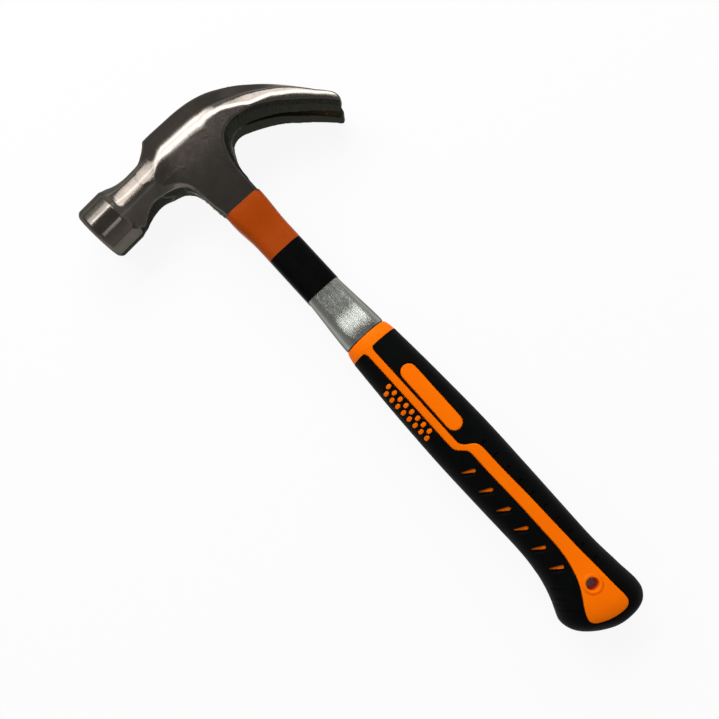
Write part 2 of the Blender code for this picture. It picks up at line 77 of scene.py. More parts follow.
def meshOf(name, parts):
    # One mesh from (points, faces) parts in the layout: doubles merged, every shell facing outwards.
    points, faces, offset = [], [], 0
    for shape, rows in parts:
        points.append(toWorld(shape))
        if isinstance(rows, np.ndarray):
            faces += (rows + offset).tolist()
        else:
            faces += [[k + offset for k in row] for row in rows]
        offset += len(shape)
    mesh = bpy.data.meshes.new(name)
    mesh.from_pydata(np.vstack(points).tolist(), [], faces)
    bm = bmesh.new()
    bm.from_mesh(mesh)
    bmesh.ops.remove_doubles(bm, verts=bm.verts, dist=2e-7)
    bmesh.ops.dissolve_degenerate(bm, edges=bm.edges, dist=1e-7)
    bmesh.ops.recalc_face_normals(bm, faces=bm.faces)
    bm.to_mesh(mesh)
    bm.free()
    return mesh


def linkMesh(name, mesh):
    # A mesh as an object of the scene.
    thing = bpy.data.objects.new(name, mesh)
    bpy.context.scene.collection.objects.link(thing)
    return thing


def addPiece(name, mesh, material, nodes, sharp):
    # A finished piece: smooth faces with sharp edges past an angle, riding on the hammer's one body.
    mesh.materials.clear()
    mesh.materials.append(material)
    mesh.shade_smooth()
    mesh.set_sharp_from_angle(angle=math.radians(sharp))
    piece = linkMesh(name, mesh)
    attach(piece, "root")
    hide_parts(*nodes)
    print(name, "built:", len(mesh.polygons), "faces")
    return piece


def cutAway(mesh, cutter):
    # The exact Boolean difference of two meshes, as a new mesh.
    body, tool = linkMesh("body", mesh), linkMesh("tool", cutter)
    change = body.modifiers.new("cut", "BOOLEAN")
    change.operation, change.solver, change.object = "DIFFERENCE", "EXACT", tool
    view = bpy.context.evaluated_depsgraph_get()
    result = bpy.data.meshes.new_from_object(body.evaluated_get(view))
    for thing in (body, tool):
        bpy.data.objects.remove(thing)
    return result


def joined(name, meshes):
    # Several meshes side by side in one, with nothing merged.
    bm = bmesh.new()
    for mesh in meshes:
        bm.from_mesh(mesh)
    whole = bpy.data.meshes.new(name)
    bm.to_mesh(whole)
    bm.free()
    return whole


def ringFaces(rows, count, closed=False):
    # Faces of a grid: rows of rings with count points each, the last row joined to the first if closed.
    i = np.arange(rows if closed else rows - 1)[:, None]
    j = np.arange(count)[None, :]
    nextRow, nextPoint = (i + 1) % rows, (j + 1) % count
    return np.stack([i * count + j, i * count + nextPoint, nextRow * count + nextPoint,
                     nextRow * count + j], -1).reshape(-1, 4)


def solidOf(rings, closed=False):
    # A loft through rings (rows, count, 3): both ends capped by a single face, or closed on itself.
    rows, count = rings.shape[:2]
    faces = ringFaces(rows, count, closed).tolist()
    if not closed:
        faces += [list(range(count))[::-1], list(range((rows - 1) * count, rows * count))]
    return rings.reshape(-1, 3), faces


def smoothLine(points, spacing):
    # A smooth curve through points: Catmull-Rom, each span cut into even pieces of about spacing.
    p = np.asarray(points, float)
    before = np.vstack([[2 * p[0] - p[1]], p[:-2]])
    after = np.vstack([p[2:], [2 * p[-1] - p[-2]]])
    rows = []
    for a, b, c, d in zip(before, p[:-1], p[1:], after):
        count = max(1, int(np.ceil(np.linalg.norm((c - b)[:2]) / spacing)))
        t = (np.arange(count) / count)[:, None]
        rows.append(0.5 * (2 * b + (c - a) * t + (2 * a - 5 * b + 4 * c - d) * t ** 2
                           + (3 * b - a - 3 * c + d) * t ** 3))
    rows.append(p[-1:])
    return np.vstack(rows)


def nearLine(x, y, line):
    # Distance from each point to a polyline in plan, and the length along it at the nearest spot.
    best = np.full(x.shape, 1e9)
    along = np.zeros(x.shape)
    start = 0.0
    for (ax, ay), (bx, by) in zip(line[:-1], line[1:]):
        dx, dy = bx - ax, by - ay
        length = math.hypot(dx, dy)
        t = np.clip(((x - ax) * dx + (y - ay) * dy) / length ** 2, 0, 1)
        gap = (x - ax - t * dx) ** 2 + (y - ay - t * dy) ** 2
        closer = gap < best
        best = np.where(closer, gap, best)
        along = np.where(closer, start + t * length, along)
        start += length
    return np.sqrt(best), along


def insideLoop(x, y, loop):
    # True inside a closed polyline: a ray along x crosses it an odd number of times.
    odd = np.zeros(x.shape, bool)
    for (ax, ay), (bx, by) in zip(loop, np.roll(loop, -1, axis=0)):
        if ay != by:
            spans = (ay > y) != (by > y)
            odd ^= spans & (x < (bx - ax) * (y - ay) / (by - ay) + ax)
    return odd


def roundMax(a, b, k):
    # The larger of two fields, with the crease between them rounded over a width k.
    h = np.maximum(k - np.abs(a - b), 0) / k
    return np.maximum(a, b) + h * h * k / 4


def roundMin(a, b, k):
    # The smaller of two fields, rounded in the same way.
    return -roundMax(-a, -b, k)


# The head is one field of signed distances, which a net of faces then follows.
head = {
    "cell": 0.52,                # size of the net's cells
    "cheekHalf": 12.0,           # half thickness at the flat cheeks
    "sideHalf": 15.9,            # half thickness at the claws' sides
    "sideRise": (-14.0, -38.0),  # across the handle, where the cheeks rise to the claws' sides
    "skirtFall": 0.00192,        # how the cheeks sink towards the socket's end,
    "skirtFrom": -8,             # from where,
    "skirtEase": (-26.0, -16.0),             # and at which side of the claws
    "neckEase": (9.0, 29.0),     # towards the bell, where the cheeks ease down to the neck
    "neckDrop": (1.1, 0.148),    # by how much, and how much less for each millimetre up the head
    "bevelEase": (11.0, 29.0),   # the same for the crown's bevel
    "bevelDrop": 2.8,
    "facetFrom": 5,              # beyond here the bright facet hangs from its foot on the cheek
    "facetReach": (3.94, -1.29),             # where that foot is, on the cheek and at the neck
    "reachEase": (17.0, 26.5),
    "facetTilt": (0.16, 0.034),  # its slope, and how much is added towards the neck
    "ridgeRound": 0.9,
    "edgeRound": 0.5,
    "wallRound": 0.6,
    "slotRound": 0.9,
    "mouthRound": 2.4,           # added at the slot's mouth
    "mouthEase": (-4.0, -0.5),
    "tip": (-0.80, -0.60, 72.9),         # the claws' ends: direction and distance
    "tipRound": 3.2,
    "bellFront": 9.4,            # striking face from the bell's middle
    "bellMiddle": 56.4,
    "bellLean": math.radians(3.0),
    "bellTurn": math.radians(8.4),
    "barEnd": -41.0,             # the neck's hidden end inside the body
    "faceChamfer": 1.7,
    "faceRound": (0.9, 0.5),     # at the chamfer, and at the striking face
    "topShift": 1.8,             # how much nearer the face the bell begins on top,
    "sideShift": (2.1, 0.044),   # and how much further back at its sides, less towards the crown
    "neckWider": (1.0, 0.65),    # what the neck's sides gain, above and below
    "widerEase": (8.5, 14.0),
    "neckTilt": math.radians(11),            # a ground flat along the top of the neck
    "groundRound": 0.8,
    "neckBlend": (1.2, 4.5),     # fillet of the neck into the body, above and below
    "blendEase": (-5.0, -10.0),
    "slotRoot": (-7.2, -30.6),
    "slotAlong": (-0.588, -0.809),
    "slotHalf": (0.8, 0.0737),   # half width at the root, and its growth per millimetre
    "slotEnd": -22.0,            # nothing is cut nearer the handle than this
    "socketHalf": (8.3, 6.9),
    "socketRound": 4.2,
    "socketTop": -1.6,
}

crownLine = smoothLine([
    (20.2, 16.9), (20.2, 12.5), (20.2, 3.9), (20.1, -6.6), (19.0, -15.9), (16.6, -24.1), (13.0, -31.3),
    (8.9, -37.9), (4.1, -43.9), (-0.1, -48.6), (-4.9, -53.2), (-10.8, -58.2), (-16.9, -62.6),
    (-22.0, -65.9), (-27.0, -68.8), (-30.2, -70.6), (-32.8, -71.5), (-36.2, -71.7)], 1.2)
throatLine = smoothLine([
    (-39.4, -68.4), (-35.4, -65.1), (-31.2, -61.1), (-28.0, -57.7), (-24.8, -54.1), (-21.7, -50.4),
    (-18.4, -46.7), (-15.6, -42.7), (-13.1, -38.5), (-10.9, -34.2), (-8.9, -29.3), (-7.8, -24.9),
    (-8.2, -20.8), (-10.2, -17.3), (-13.1, -15.2), (-17.1, -13.3), (-21.3, -11.9), (-27.1, -11.0),
    (-32.2, -10.6), (-36.5, -10.4), (-42.6, -10.1)], 1.2)
neckLine = smoothLine([
    (-42.6, 10.3), (-37.0, 11.2), (-33.0, 12.2), (-27.2, 12.9), (-21.5, 13.5), (-17.4, 14.6), (-14.6, 16.4),
    (-12.4, 19.0), (-10.9, 22.5), (-9.4, 26.5), (-6.0, 31.0)], 1.2)
shoulderLine = smoothLine([(7.0, 32.0), (10.4, 28.6), (13.6, 24.1), (16.6, 20.2), (20.2, 16.9)], 1.2)
headLoop = np.vstack([crownLine, throatLine, neckLine, shoulderLine[:-1]])
lowerLine = np.vstack([throatLine, neckLine])

# along the crown line: height and slope of the bevel, then of the bright facet under its ridge, and
# how far the crown's edge is rounded
crownStations = np.array([
    (0.0, 6.2, 0.414, 9.40, 0.160, 2.6), (20.0, 6.2, 0.414, 9.40, 0.160, 2.6),
    (31.0, 6.2, 0.414, 9.27, 0.165, 2.6), (38.0, 6.17, 0.483, 9.45, 0.18, 2.6),
    (44.0, 6.15, 0.543, 9.76, 0.20, 2.6), (50.0, 6.17, 0.665, 10.25, 0.25, 2.6),
    (57.0, 6.2, 0.785, 10.85, 0.28, 2.6), (62.0, 6.25, 0.915, 11.50, 0.28, 2.6),
    (66.5, 6.3, 1.04, 11.95, 0.28, 2.6), (72.0, 6.3, 1.24, 12.45, 0.29, 2.4),
    (78.0, 6.3, 1.53, 13.05, 0.30, 2.2), (84.0, 6.2, 1.95, 13.40, 0.30, 2.0),
    (89.5, 6.1, 2.40, 13.86, 0.30, 1.7), (95.0, 6.0, 2.90, 14.20, 0.30, 1.4),
    (101.0, 5.8, 3.60, 14.50, 0.30, 1.1), (106.0, 5.7, 6.0, 14.90, 0.30, 0.8),
    (114.0, 5.6, 12.0, 15.20, 0.30, 0.5)])
# along the lower line: height where the lower bevel leaves the edge, and its slope
lowerStations = np.array([
    (0.0, 13.6, 1.0), (45.5, 13.6, 1.0), (51.5, 12.8, 1.3), (57.5, 10.4, 1.75), (62.5, 8.8, 1.75),
    (117.5, 8.6, 1.75), (131.5, 9.4, 1.75), (138.5, 9.4, 1.9), (143.5, 8.9, 2.2), (146.5, 8.4, 2.0),
    (150.0, 7.8, 1.6), (152.5, 7.9, 1.15), (156.0, 7.9, 0.75), (160.3, 6.0, 0.79), (400.0, 5.7, 0.79)])
# along the bell's axis from its middle: outer radius at the sides, then at the top and underneath, the
# distance of the ground flat, and how soft the corners are
neckStations = smoothLine([
    (-44.0, 11.5), (-34.0, 11.6), (-29.0, 11.45), (-24.4, 11.3), (-19.4, 11.4), (-15.6, 12.1), (-13.4, 12.9),
    (-11.4, 14.1), (-9.9, 15.2), (-8.6, 15.9), (-7.4, 16.0), (0.0, 16.0), (12.0, 16.0)], 0.4)
topStations = smoothLine([
    (-44.0, 11.5), (-34.0, 11.6), (-29.0, 11.45), (-24.4, 11.3), (-20.0, 11.35), (-17.0, 11.6), (-14.5, 12.2),
    (-12.8, 12.9), (-11.4, 13.7), (-10.2, 14.6), (-9.2, 15.4), (-8.4, 15.9), (-7.4, 16.0), (12.0, 16.0)], 0.3)
groundStations = np.array([
    (-44.0, 10.6), (-34.0, 10.65), (-29.0, 10.52), (-24.4, 10.42), (-20.0, 10.45), (-17.0, 10.7),
    (-14.5, 11.3), (-12.5, 12.1), (-11.0, 13.0), (-10.0, 14.0), (-9.2, 15.2), (-8.6, 16.5),
    (-8.0, 17.5), (12.0, 17.5)])
softCorners = np.array([(-44.0, 1.0), (-16.0, 1.0), (-10.0, 1.6), (-8.0, 1.9), (12.0, 1.9)])


def easing(value, start, end):
    # 0 before start, 1 after end, with a smooth cubic between them.
    t = np.clip((value - start) / (end - start), 0, 1)
    return t * t * (3 - 2 * t)


def headPlan(x, y):
    # Everything about the head that depends on plan alone: distances to its edges and their places.
    crownGap, crownAlong = nearLine(x, y, crownLine)
    lowerGap, lowerAlong = nearLine(x, y, lowerLine)
    edgeGap, _ = nearLine(x, y, np.vstack([headLoop, headLoop[:1]]))
    edge = np.where(insideLoop(x, y, headLoop), edgeGap, -edgeGap)
    crownGap = np.where(edge > 0, crownGap, np.maximum(-crownGap, -3.0))
    crownGap = np.where(y > crownLine[0, 1], crownLine[0, 0] - x, crownGap)
    lowerGap = np.where(edge > 0, lowerGap, np.maximum(-lowerGap, -3.0))
    return {"x": x, "y": y, "edge": edge, "crown": crownGap, "lower": lowerGap,
            "crownAlong": crownAlong, "lowerAlong": lowerAlong,
            "stations": [np.interp(crownAlong, crownStations[:, 0], row) for row in crownStations.T[1:]],
            "bevel": [np.interp(lowerAlong, lowerStations[:, 0], row) for row in lowerStations.T[1:]]}


def headParts(plan, z):
    # Signed distances to the forging's faces, negative inside. Half thickness over the plan is the
    # least of the crown's bevel, the bright facet, the cheek and the lower bevel. Towards the neck
    # each of them eases down into the neck's own flats.
    x, y, up = plan["x"], plan["y"], np.abs(z)
    bevelUp, bevelSlope, facetUp, facetSlope, _ = plan["stations"]
    lowerUp, lowerSlope = plan["bevel"]
    toNeck = easing(y, *head["neckEase"])
    drop, lessDrop = head["neckDrop"]
    top = (head["cheekHalf"] + (head["sideHalf"] - head["cheekHalf"]) * easing(y, *head["sideRise"])
           - head["skirtFall"] * np.maximum(head["skirtFrom"] - x, 0) ** 2 * easing(y, *head["skirtEase"])
           - toNeck * (drop - lessDrop * x))
    rootX, rootY = head["slotRoot"]
    alongX, alongY = head["slotAlong"]
    down = (x - rootX) * alongX + (y - rootY) * alongY
    r = head["socketRound"]
    qy = np.abs(y) - head["socketHalf"][0] + r
    qz = up - head["socketHalf"][1] + r
    bore = np.sqrt(np.maximum(qy, 0) ** 2 + np.maximum(qz, 0) ** 2) + np.minimum(np.maximum(qy, qz), 0) - r
    tipX, tipY, tipAt = head["tip"]
    # towards the neck the facet's foot on the cheek swings across, and the facet hangs from it
    first, last = head["facetReach"]
    reach = first + (last - first) * easing(y, *head["reachEase"])
    foot = head["cheekHalf"] - toNeck * (drop - lessDrop * reach)
    tilt = head["facetTilt"][0] + head["facetTilt"][1] * toNeck
    facet = np.where(y > head["facetFrom"], foot + tilt * (reach - x), facetUp + facetSlope * plan["crown"])
    bevel = bevelUp + bevelSlope * plan["crown"] - head["bevelDrop"] * easing(y, *head["bevelEase"])
    return {
        "bevel": (up - bevel) / np.sqrt(1 + bevelSlope ** 2),
        "facet": (up - facet) / np.sqrt(1 + facetSlope ** 2),
        "cheek": up - top,
        "chamfer": (up - lowerUp - lowerSlope * plan["lower"]) / np.sqrt(1 + lowerSlope ** 2),
        "wall": -plan["edge"] + 0 * z,
        "tip": x * tipX + y * tipY - tipAt + 0 * z,
        "slot": np.minimum(head["slotEnd"] - y, np.where(
            down > 0, head["slotHalf"][0] + head["slotHalf"][1] * down - up,
            head["slotHalf"][0] - np.sqrt(down ** 2 + z ** 2))),
        "bore": -np.maximum(bore, x - head["socketTop"]),
    }


barAngles = head["bellTurn"] + np.radians(30 * np.arange(12))


def barParts(plan, z):
    # Neck and bell: twelve flats about the leaning axis, their distance a curve along it.
    lean = head["bellLean"]
    along = (plan["y"] - head["bellMiddle"]) * math.cos(lean) - plan["x"] * math.sin(lean)
    across = plan["x"] * math.cos(lean) + (plan["y"] - head["bellMiddle"]) * math.sin(lean)
    back, lessBack = head["sideShift"]
    above, below = head["neckWider"]
    flats = []
    for a in barAngles:
        # the bell reaches further back at its sides than on top, and the neck is wider there
        onTop = abs(math.cos(a)) > 0.6
        stations = topStations if onTop else neckStations
        spot = along - head["topShift"] if onTop else along + back - lessBack * across
        wider = (above if math.sin(a) > 0 else below) * math.sin(a) ** 4 * easing(-spot, *head["widerEase"])
        radius = np.interp(spot, stations[:, 0], stations[:, 1]) * math.cos(math.pi / 12) + wider
        grow = np.interp(spot, stations[:, 0], np.gradient(stations[:, 1], stations[:, 0]))
        flats.append((z * math.cos(a) - across * math.sin(a) - radius) / np.sqrt(1 + grow ** 2))
    lean = head["neckTilt"]
    ground = (np.abs(z) * math.cos(lean) + across * math.sin(lean)
              - np.interp(along - head["topShift"], groundStations[:, 0], groundStations[:, 1]))
    return along, across, flats, ground


def headField(plan, z):
    # The largest of the body's distances with their creases rounded, the same for the bar of neck and
    # bell, the smaller of these two with a fillet, and then the slot and the socket cut out.
    p = headParts(plan, z)
    body = roundMax(p["bevel"], p["facet"], head["ridgeRound"])
    body = roundMax(body, p["cheek"], head["edgeRound"])
    body = roundMax(body, p["chamfer"], head["edgeRound"])
    wallRound = np.where(plan["crown"] < plan["lower"], plan["stations"][4], head["wallRound"])
    body = roundMax(body, p["wall"], wallRound)
    body = roundMax(body, p["tip"], head["tipRound"])

    along, across, flats, ground = barParts(plan, z)
    soft = np.interp(along, softCorners[:, 0], softCorners[:, 1])
    bar = flats[0]
    for flat in flats[1:]:
        bar = roundMax(bar, flat, soft)
    bar = roundMax(bar, ground, head["groundRound"])
    rim = (bar + along - head["bellFront"] + head["faceChamfer"]) / math.sqrt(2)
    bar = roundMax(bar, rim, head["faceRound"][0])
    bar = roundMax(bar, along - head["bellFront"], head["faceRound"][1])
    bar = np.maximum(bar, head["barEnd"] - along)
    above, below = head["neckBlend"]
    whole = roundMin(body, bar, above + (below - above) * easing(across, *head["blendEase"]))
    mouth = head["slotRound"] + head["mouthRound"] * easing(p["tip"], *head["mouthEase"])
    whole = roundMax(whole, p["slot"], mouth)
    return np.maximum(whole, p["bore"])


def netSurface(planOf, field, low, high, cell):
    # A closed net of four-sided faces on the zero level of field(planOf(x, y), z): one point in each
    # cell that the surface crosses, at the least-squares meeting of the tangent planes there.
    axes = [np.arange(a, b + cell, cell) for a, b in zip(low, high)]
    gx, gy = np.meshgrid(axes[0], axes[1], indexing="ij")
    plan = planOf(gx, gy)
    wide = {key: [part[:, :, None] for part in value] if isinstance(value, list) else value[:, :, None]
            for key, value in plan.items()}
    values = field(wide, axes[2][None, None, :])
    inside = values < 0
    size = np.array(values.shape)
    places, owners = [], []
    for axis in range(3):
        this = tuple(slice(0, -1) if n == axis else slice(None) for n in range(3))
        following = tuple(slice(1, None) if n == axis else slice(None) for n in range(3))
        i, j, k = np.nonzero(inside[this] != inside[following])
        cellIndex = np.stack([i, j, k], 1)
        a = values[this][i, j, k]
        b = values[following][i, j, k]
        spot = np.stack([axes[0][i], axes[1][j], axes[2][k]], 1)
        spot[:, axis] += cell * a / (a - b)
        u, v = ((1, 2), (2, 0), (0, 1))[axis]
        ring = []
        for du, dv in ((0, 0), (-1, 0), (-1, -1), (0, -1)):
            c = cellIndex.copy()
            c[:, u] += du
            c[:, v] += dv
            ring.append(np.ravel_multi_index(c.T, size))
        ring = np.stack(ring, 1)
        flip = a > 0
        ring[flip] = ring[flip][:, ::-1]
        places.append(spot)
        owners.append(ring)
    places, owners = np.vstack(places), np.vstack(owners)

    # outward direction at each crossing, by small steps
    step = 0.01
    base = planOf(places[:, 0], places[:, 1])
    here = field(base, places[:, 2])
    slopes = np.stack([
        field(planOf(places[:, 0] + step, places[:, 1]), places[:, 2]) - here,
        field(planOf(places[:, 0], places[:, 1] + step), places[:, 2]) - here,
        field(base, places[:, 2] + step) - here], 1)
    slopes /= np.maximum(np.linalg.norm(slopes, axis=1, keepdims=True), 1e-12)

    cells, which = np.unique(owners.ravel(), return_inverse=True)
    n = len(cells)
    which = which.ravel()
    pos = np.repeat(places, 4, axis=0)
    nor = np.repeat(slopes, 4, axis=0)
    count = np.bincount(which, minlength=n)
    mean = np.stack([np.bincount(which, pos[:, c], n) for c in range(3)], 1) / count[:, None]
    push = np.sum(nor * (pos - mean[which]), axis=1)
    ata = np.zeros((n, 3, 3))
    atb = np.zeros((n, 3))
    for r in range(3):
        atb[:, r] = np.bincount(which, nor[:, r] * push, n)
        for c in range(3):
            ata[:, r, c] = np.bincount(which, nor[:, r] * nor[:, c], n)
    ata += np.eye(3) * 0.08
    shift = np.linalg.solve(ata, atb[:, :, None])[:, :, 0]
    points = mean + shift
    corner = np.stack(np.unravel_index(cells, size), 1) * cell + np.array([axis[0] for axis in axes])
    points = np.clip(points, corner - 0.1 * cell, corner + 1.1 * cell)
    return points, np.searchsorted(cells, owners)


def feed(tree, socket, value):
    # Links an output into a socket, or gives the socket a value.
    if isinstance(value, bpy.types.NodeSocket):
        tree.links.new(value, socket)
    else:
        socket.default_value = value


def put(tree, kind, inputs=None, **settings):
    # One node with its settings, and each named input fed.
    node = tree.nodes.new(kind)
    for key, value in settings.items():
        setattr(node, key, value)
    for key, value in (inputs or {}).items():
        feed(tree, node.inputs[key], value)
    return node


def maths(tree, operation, a, b=0.0, clamp=False):
    # One sum of two values.
    node = put(tree, "ShaderNodeMath", {0: a, 1: b}, operation=operation)
    node.use_clamp = clamp
    return node.outputs[0]


def blend(tree, share, a, b):
    # Colour a where the share is 0, colour b where it is 1.
    node = put(tree, "ShaderNodeMix", {"Factor": share}, data_type="RGBA")
    for key, value in ((6, a), (7, b)):
        feed(tree, node.inputs[key], (*value, 1) if isinstance(value, tuple) else value)
    return node.outputs[2]


def ramp(tree, value, low, high, toLow=0.0, toHigh=1.0):
    # A straight line from one range to another, held at its ends.
    return put(tree, "ShaderNodeMapRange", {"Value": value, "From Min": low, "From Max": high,
                                            "To Min": toLow, "To Max": toHigh}).outputs[0]


def newGroup(name, inputs, outputs):
    # An empty shader group with its sockets: inputs are (label, kind, value), outputs (label, kind).
    tree = bpy.data.node_groups.new(name, "ShaderNodeTree")
    for label, kind, value in inputs:
        socket = tree.interface.new_socket(label, in_out="INPUT", socket_type=kind)
        if value is not None:
            socket.default_value = value
    for label, kind in outputs:
        tree.interface.new_socket(label, in_out="OUTPUT", socket_type=kind)
    return tree, tree.nodes.new("NodeGroupInput").outputs, tree.nodes.new("NodeGroupOutput")


def makeStreaks():
    # Brush marks: noise stretched along one coordinate, a broad and a fine layer.
    tree, given, out = newGroup("brushMarks", [
        ("Vector", "NodeSocketVector", None), ("Across", "NodeSocketFloat", 3.0),
        ("Along", "NodeSocketFloat", 0.1), ("Sharpness", "NodeSocketFloat", 0.5)],
        [("Marks", "NodeSocketFloat"), ("Height", "NodeSocketFloat")])
    scale = put(tree, "ShaderNodeCombineXYZ",
                {"X": given["Across"], "Y": given["Along"], "Z": given["Along"]})
    spot = put(tree, "ShaderNodeVectorMath", {0: given["Vector"], 1: scale.outputs[0]}, operation="MULTIPLY")
    broad = put(tree, "ShaderNodeTexNoise", {"Vector": spot.outputs[0], "Scale": 0.6, "Detail": 2.0})
    fine = put(tree, "ShaderNodeTexNoise", {"Vector": spot.outputs[0], "Scale": 2.3, "Detail": 3.0,
                                            "Roughness": 0.6})
    both = maths(tree, "ADD", maths(tree, "MULTIPLY", broad.outputs["Fac"], 0.5),
                 maths(tree, "MULTIPLY", fine.outputs["Fac"], 0.5))
    spread = maths(tree, "MULTIPLY", maths(tree, "SUBTRACT", 1.0, given["Sharpness"]), 0.3)
    marks = ramp(tree, both, maths(tree, "SUBTRACT", 0.5, spread), maths(tree, "ADD", 0.5, spread))
    tree.links.new(marks, out.inputs["Marks"])
    tree.links.new(both, out.inputs["Height"])
    return tree


def makeSpecks():
    # Small scattered pits or dust: the cores of some cells of a jittered cell pattern.
    tree, given, out = newGroup("specks", [
        ("Vector", "NodeSocketVector", None), ("Scale", "NodeSocketFloat", 1.0),
        ("Size", "NodeSocketFloat", 0.2), ("Share", "NodeSocketFloat", 0.2)],
        [("Mask", "NodeSocketFloat")])
    warp = put(tree, "ShaderNodeTexNoise", {"Vector": given["Vector"], "Scale": 1.7, "Detail": 1.0})
    moved = put(tree, "ShaderNodeVectorMath", {0: given["Vector"], 1: warp.outputs["Color"]}, operation="ADD")
    cells = put(tree, "ShaderNodeTexVoronoi", {"Vector": moved.outputs[0], "Scale": given["Scale"]})
    core = ramp(tree, cells.outputs["Distance"], given["Size"], maths(tree, "MULTIPLY", given["Size"], 0.4))
    pick = put(tree, "ShaderNodeSeparateColor", {"Color": cells.outputs["Color"]})
    chosen = maths(tree, "LESS_THAN", pick.outputs[0], given["Share"])
    tree.links.new(maths(tree, "MULTIPLY", core, chosen), out.inputs["Mask"])
    return tree


def makeMottle():
    # Soft cloudy variation between 0 and 1, for tone and sheen.
    tree, given, out = newGroup("mottle", [
        ("Vector", "NodeSocketVector", None), ("Scale", "NodeSocketFloat", 0.1),
        ("Detail", "NodeSocketFloat", 4.0), ("Contrast", "NodeSocketFloat", 0.5)],
        [("Tone", "NodeSocketFloat")])
    cloud = put(tree, "ShaderNodeTexNoise", {"Vector": given["Vector"], "Scale": given["Scale"],
                                             "Detail": given["Detail"], "Roughness": 0.6})
    off = maths(tree, "SUBTRACT", cloud.outputs["Fac"], 0.5)
    gain = maths(tree, "MULTIPLY_ADD", given["Contrast"], 3.0)
    tone = maths(tree, "ADD", maths(tree, "MULTIPLY", off, gain), 0.5, True)
    tree.links.new(tone, out.inputs["Tone"])
    return tree


brushMarks, specks, mottle = makeStreaks(), makeSpecks(), makeMottle()


def useGroup(tree, group, **inputs):
    # A group in a material with its inputs fed.
    return put(tree, "ShaderNodeGroup", inputs, node_tree=group).outputs


def newFinish(name, **fixed):
    # A material with its shader's plain sockets set, and the millimetre coordinates of the object.
    material = bpy.data.materials.new(name)
    material.use_nodes = True
    tree = material.node_tree
    shader = tree.nodes["Principled BSDF"]
    for key, value in fixed.items():
        shader.inputs[key.replace("_", " ")].default_value = value
    spot = put(tree, "ShaderNodeTexCoord").outputs["Object"]
    millimetres = put(tree, "ShaderNodeMapping", {"Vector": spot, "Scale": (1000, 1000, 1000)}).outputs[0]
    return material, tree, shader, millimetres


def plug(shader, **sockets):
    # Links outputs into a shader's sockets, named with _ for each space.
    for key, value in sockets.items():
        shader.id_data.links.new(value, shader.inputs[key.replace("_", " ")])


def bump(tree, height, strength, distance, normal=None):
    # A normal tilted by the slope of a height, over another normal if there is one.
    inputs = {"Height": height, "Strength": strength, "Distance": distance}
    if normal is not None:
        inputs["Normal"] = normal
    return put(tree, "ShaderNodeBump", inputs).outputs[0]


steelTones = {
    "ground": (0.150, 0.130, 0.112),
    "groundDark": (0.112, 0.098, 0.086),
    # painted shade: the crown's bevel darker than the cheeks, and darker still on the claws
    "crown": (0.092, 0.080, 0.069),
    "crownShadeOnClaws": (0.075, 0.066, 0.058),
    "scale": (0.0240, 0.0255, 0.0208),
    "scaleLight": (0.0470, 0.0500, 0.0410),
    "slot": (0.022, 0.016, 0.009),
    "rust": (0.070, 0.042, 0.016),
    # a painted highlight: the light colour laid along edges between faces
    "edge": (0.34, 0.32, 0.29),
    "clawsFrom": (30, 48),           # along the crown, where its painted shade deepens
    "polish": 0.13, "scaleRoughness": 0.46,
}


def forgedSteelFinish():
    # Ground and lacquered steel, darker over the crown as painted shade, with painted highlights along its
    # edges, and dark scale where it is left as forged, which also darkens some flats and a line of the bell
    # as painted shade.
    material, tree, shader, spot = newFinish(
        "forged_steel_look", Metallic=1.0, Specular_Tint=(0.42, 0.42, 0.41, 1))
    tone = steelTones
    # the scale mask holds real forge scale and painted shade on the bell
    forged, dull, edge, crown, along, slot = (
        put(tree, "ShaderNodeAttribute", attribute_name=name).outputs["Fac"]
        for name in ("scaleAndShade", "dull", "edgeHighlight", "crownShadeShare", "crownAlong", "slotWall"))
    grind = put(tree, "ShaderNodeAttribute", attribute_name="grind").outputs["Vector"]
    depth = put(tree, "ShaderNodeSeparateXYZ", {0: grind}).outputs["Z"]
    streaks = useGroup(tree, brushMarks, Vector=grind, Across=2.2, Along=0.16, Sharpness=0.35)
    cloud = useGroup(tree, mottle, Vector=spot, Scale=0.16, Detail=5.0, Contrast=0.5)["Tone"]
    fineCloud = useGroup(tree, mottle, Vector=spot, Scale=1.1, Detail=3.0, Contrast=0.8)["Tone"]
    pits = useGroup(tree, specks, Vector=spot, Scale=0.35, Size=0.16, Share=0.16)["Mask"]
    ground = blend(tree, cloud, tone["groundDark"], tone["ground"])
    # painted shade over the crown's bevel, deeper on the claws
    ground = blend(tree, crown, ground, tone["crown"])
    onClaws = ramp(tree, along, *tone["clawsFrom"])
    ground = blend(tree, maths(tree, "MULTIPLY", onClaws, crown), ground, tone["crownShadeOnClaws"])
    ground = blend(tree, maths(tree, "MULTIPLY", pits, 0.6), ground, tone["scale"])
    # painted highlight along the edges between faces and at the claws' ends
    ground = blend(tree, maths(tree, "MULTIPLY", edge, 0.5), ground, tone["edge"])
    scale = blend(tree, fineCloud, tone["scale"], tone["scaleLight"])
    scale = blend(tree, slot, scale, tone["slot"])
    spots = useGroup(tree, specks, Vector=spot, Scale=0.55, Size=0.42, Share=0.34)["Mask"]
    rusted = maths(tree, "MULTIPLY", spots, ramp(tree, slot, 0, 1, 0.08, 0.75))
    scale = blend(tree, rusted, scale, tone["rust"])
    rough = ramp(tree, streaks["Marks"], 0, 1, tone["polish"] - 0.02, tone["polish"] + 0.04)
    rough = maths(tree, "ADD", rough, maths(tree, "MULTIPLY", fineCloud, 0.03))
    rough = put(tree, "ShaderNodeMix", {"Factor": dull, 2: rough, 3: tone["scaleRoughness"]}).outputs[0]
    marks = bump(tree, streaks["Height"], depth, 0.0005)
    rugged = bump(tree, fineCloud, ramp(tree, forged, 0.5, 1.0, 0.0, 0.8), 0.0004, marks)
    pitted = bump(tree, maths(tree, "SUBTRACT", 1.0, pits), 0.3, 0.0001, rugged)
    plug(shader, Base_Color=blend(tree, forged, ground, scale), Roughness=rough, Normal=pitted)
    return material


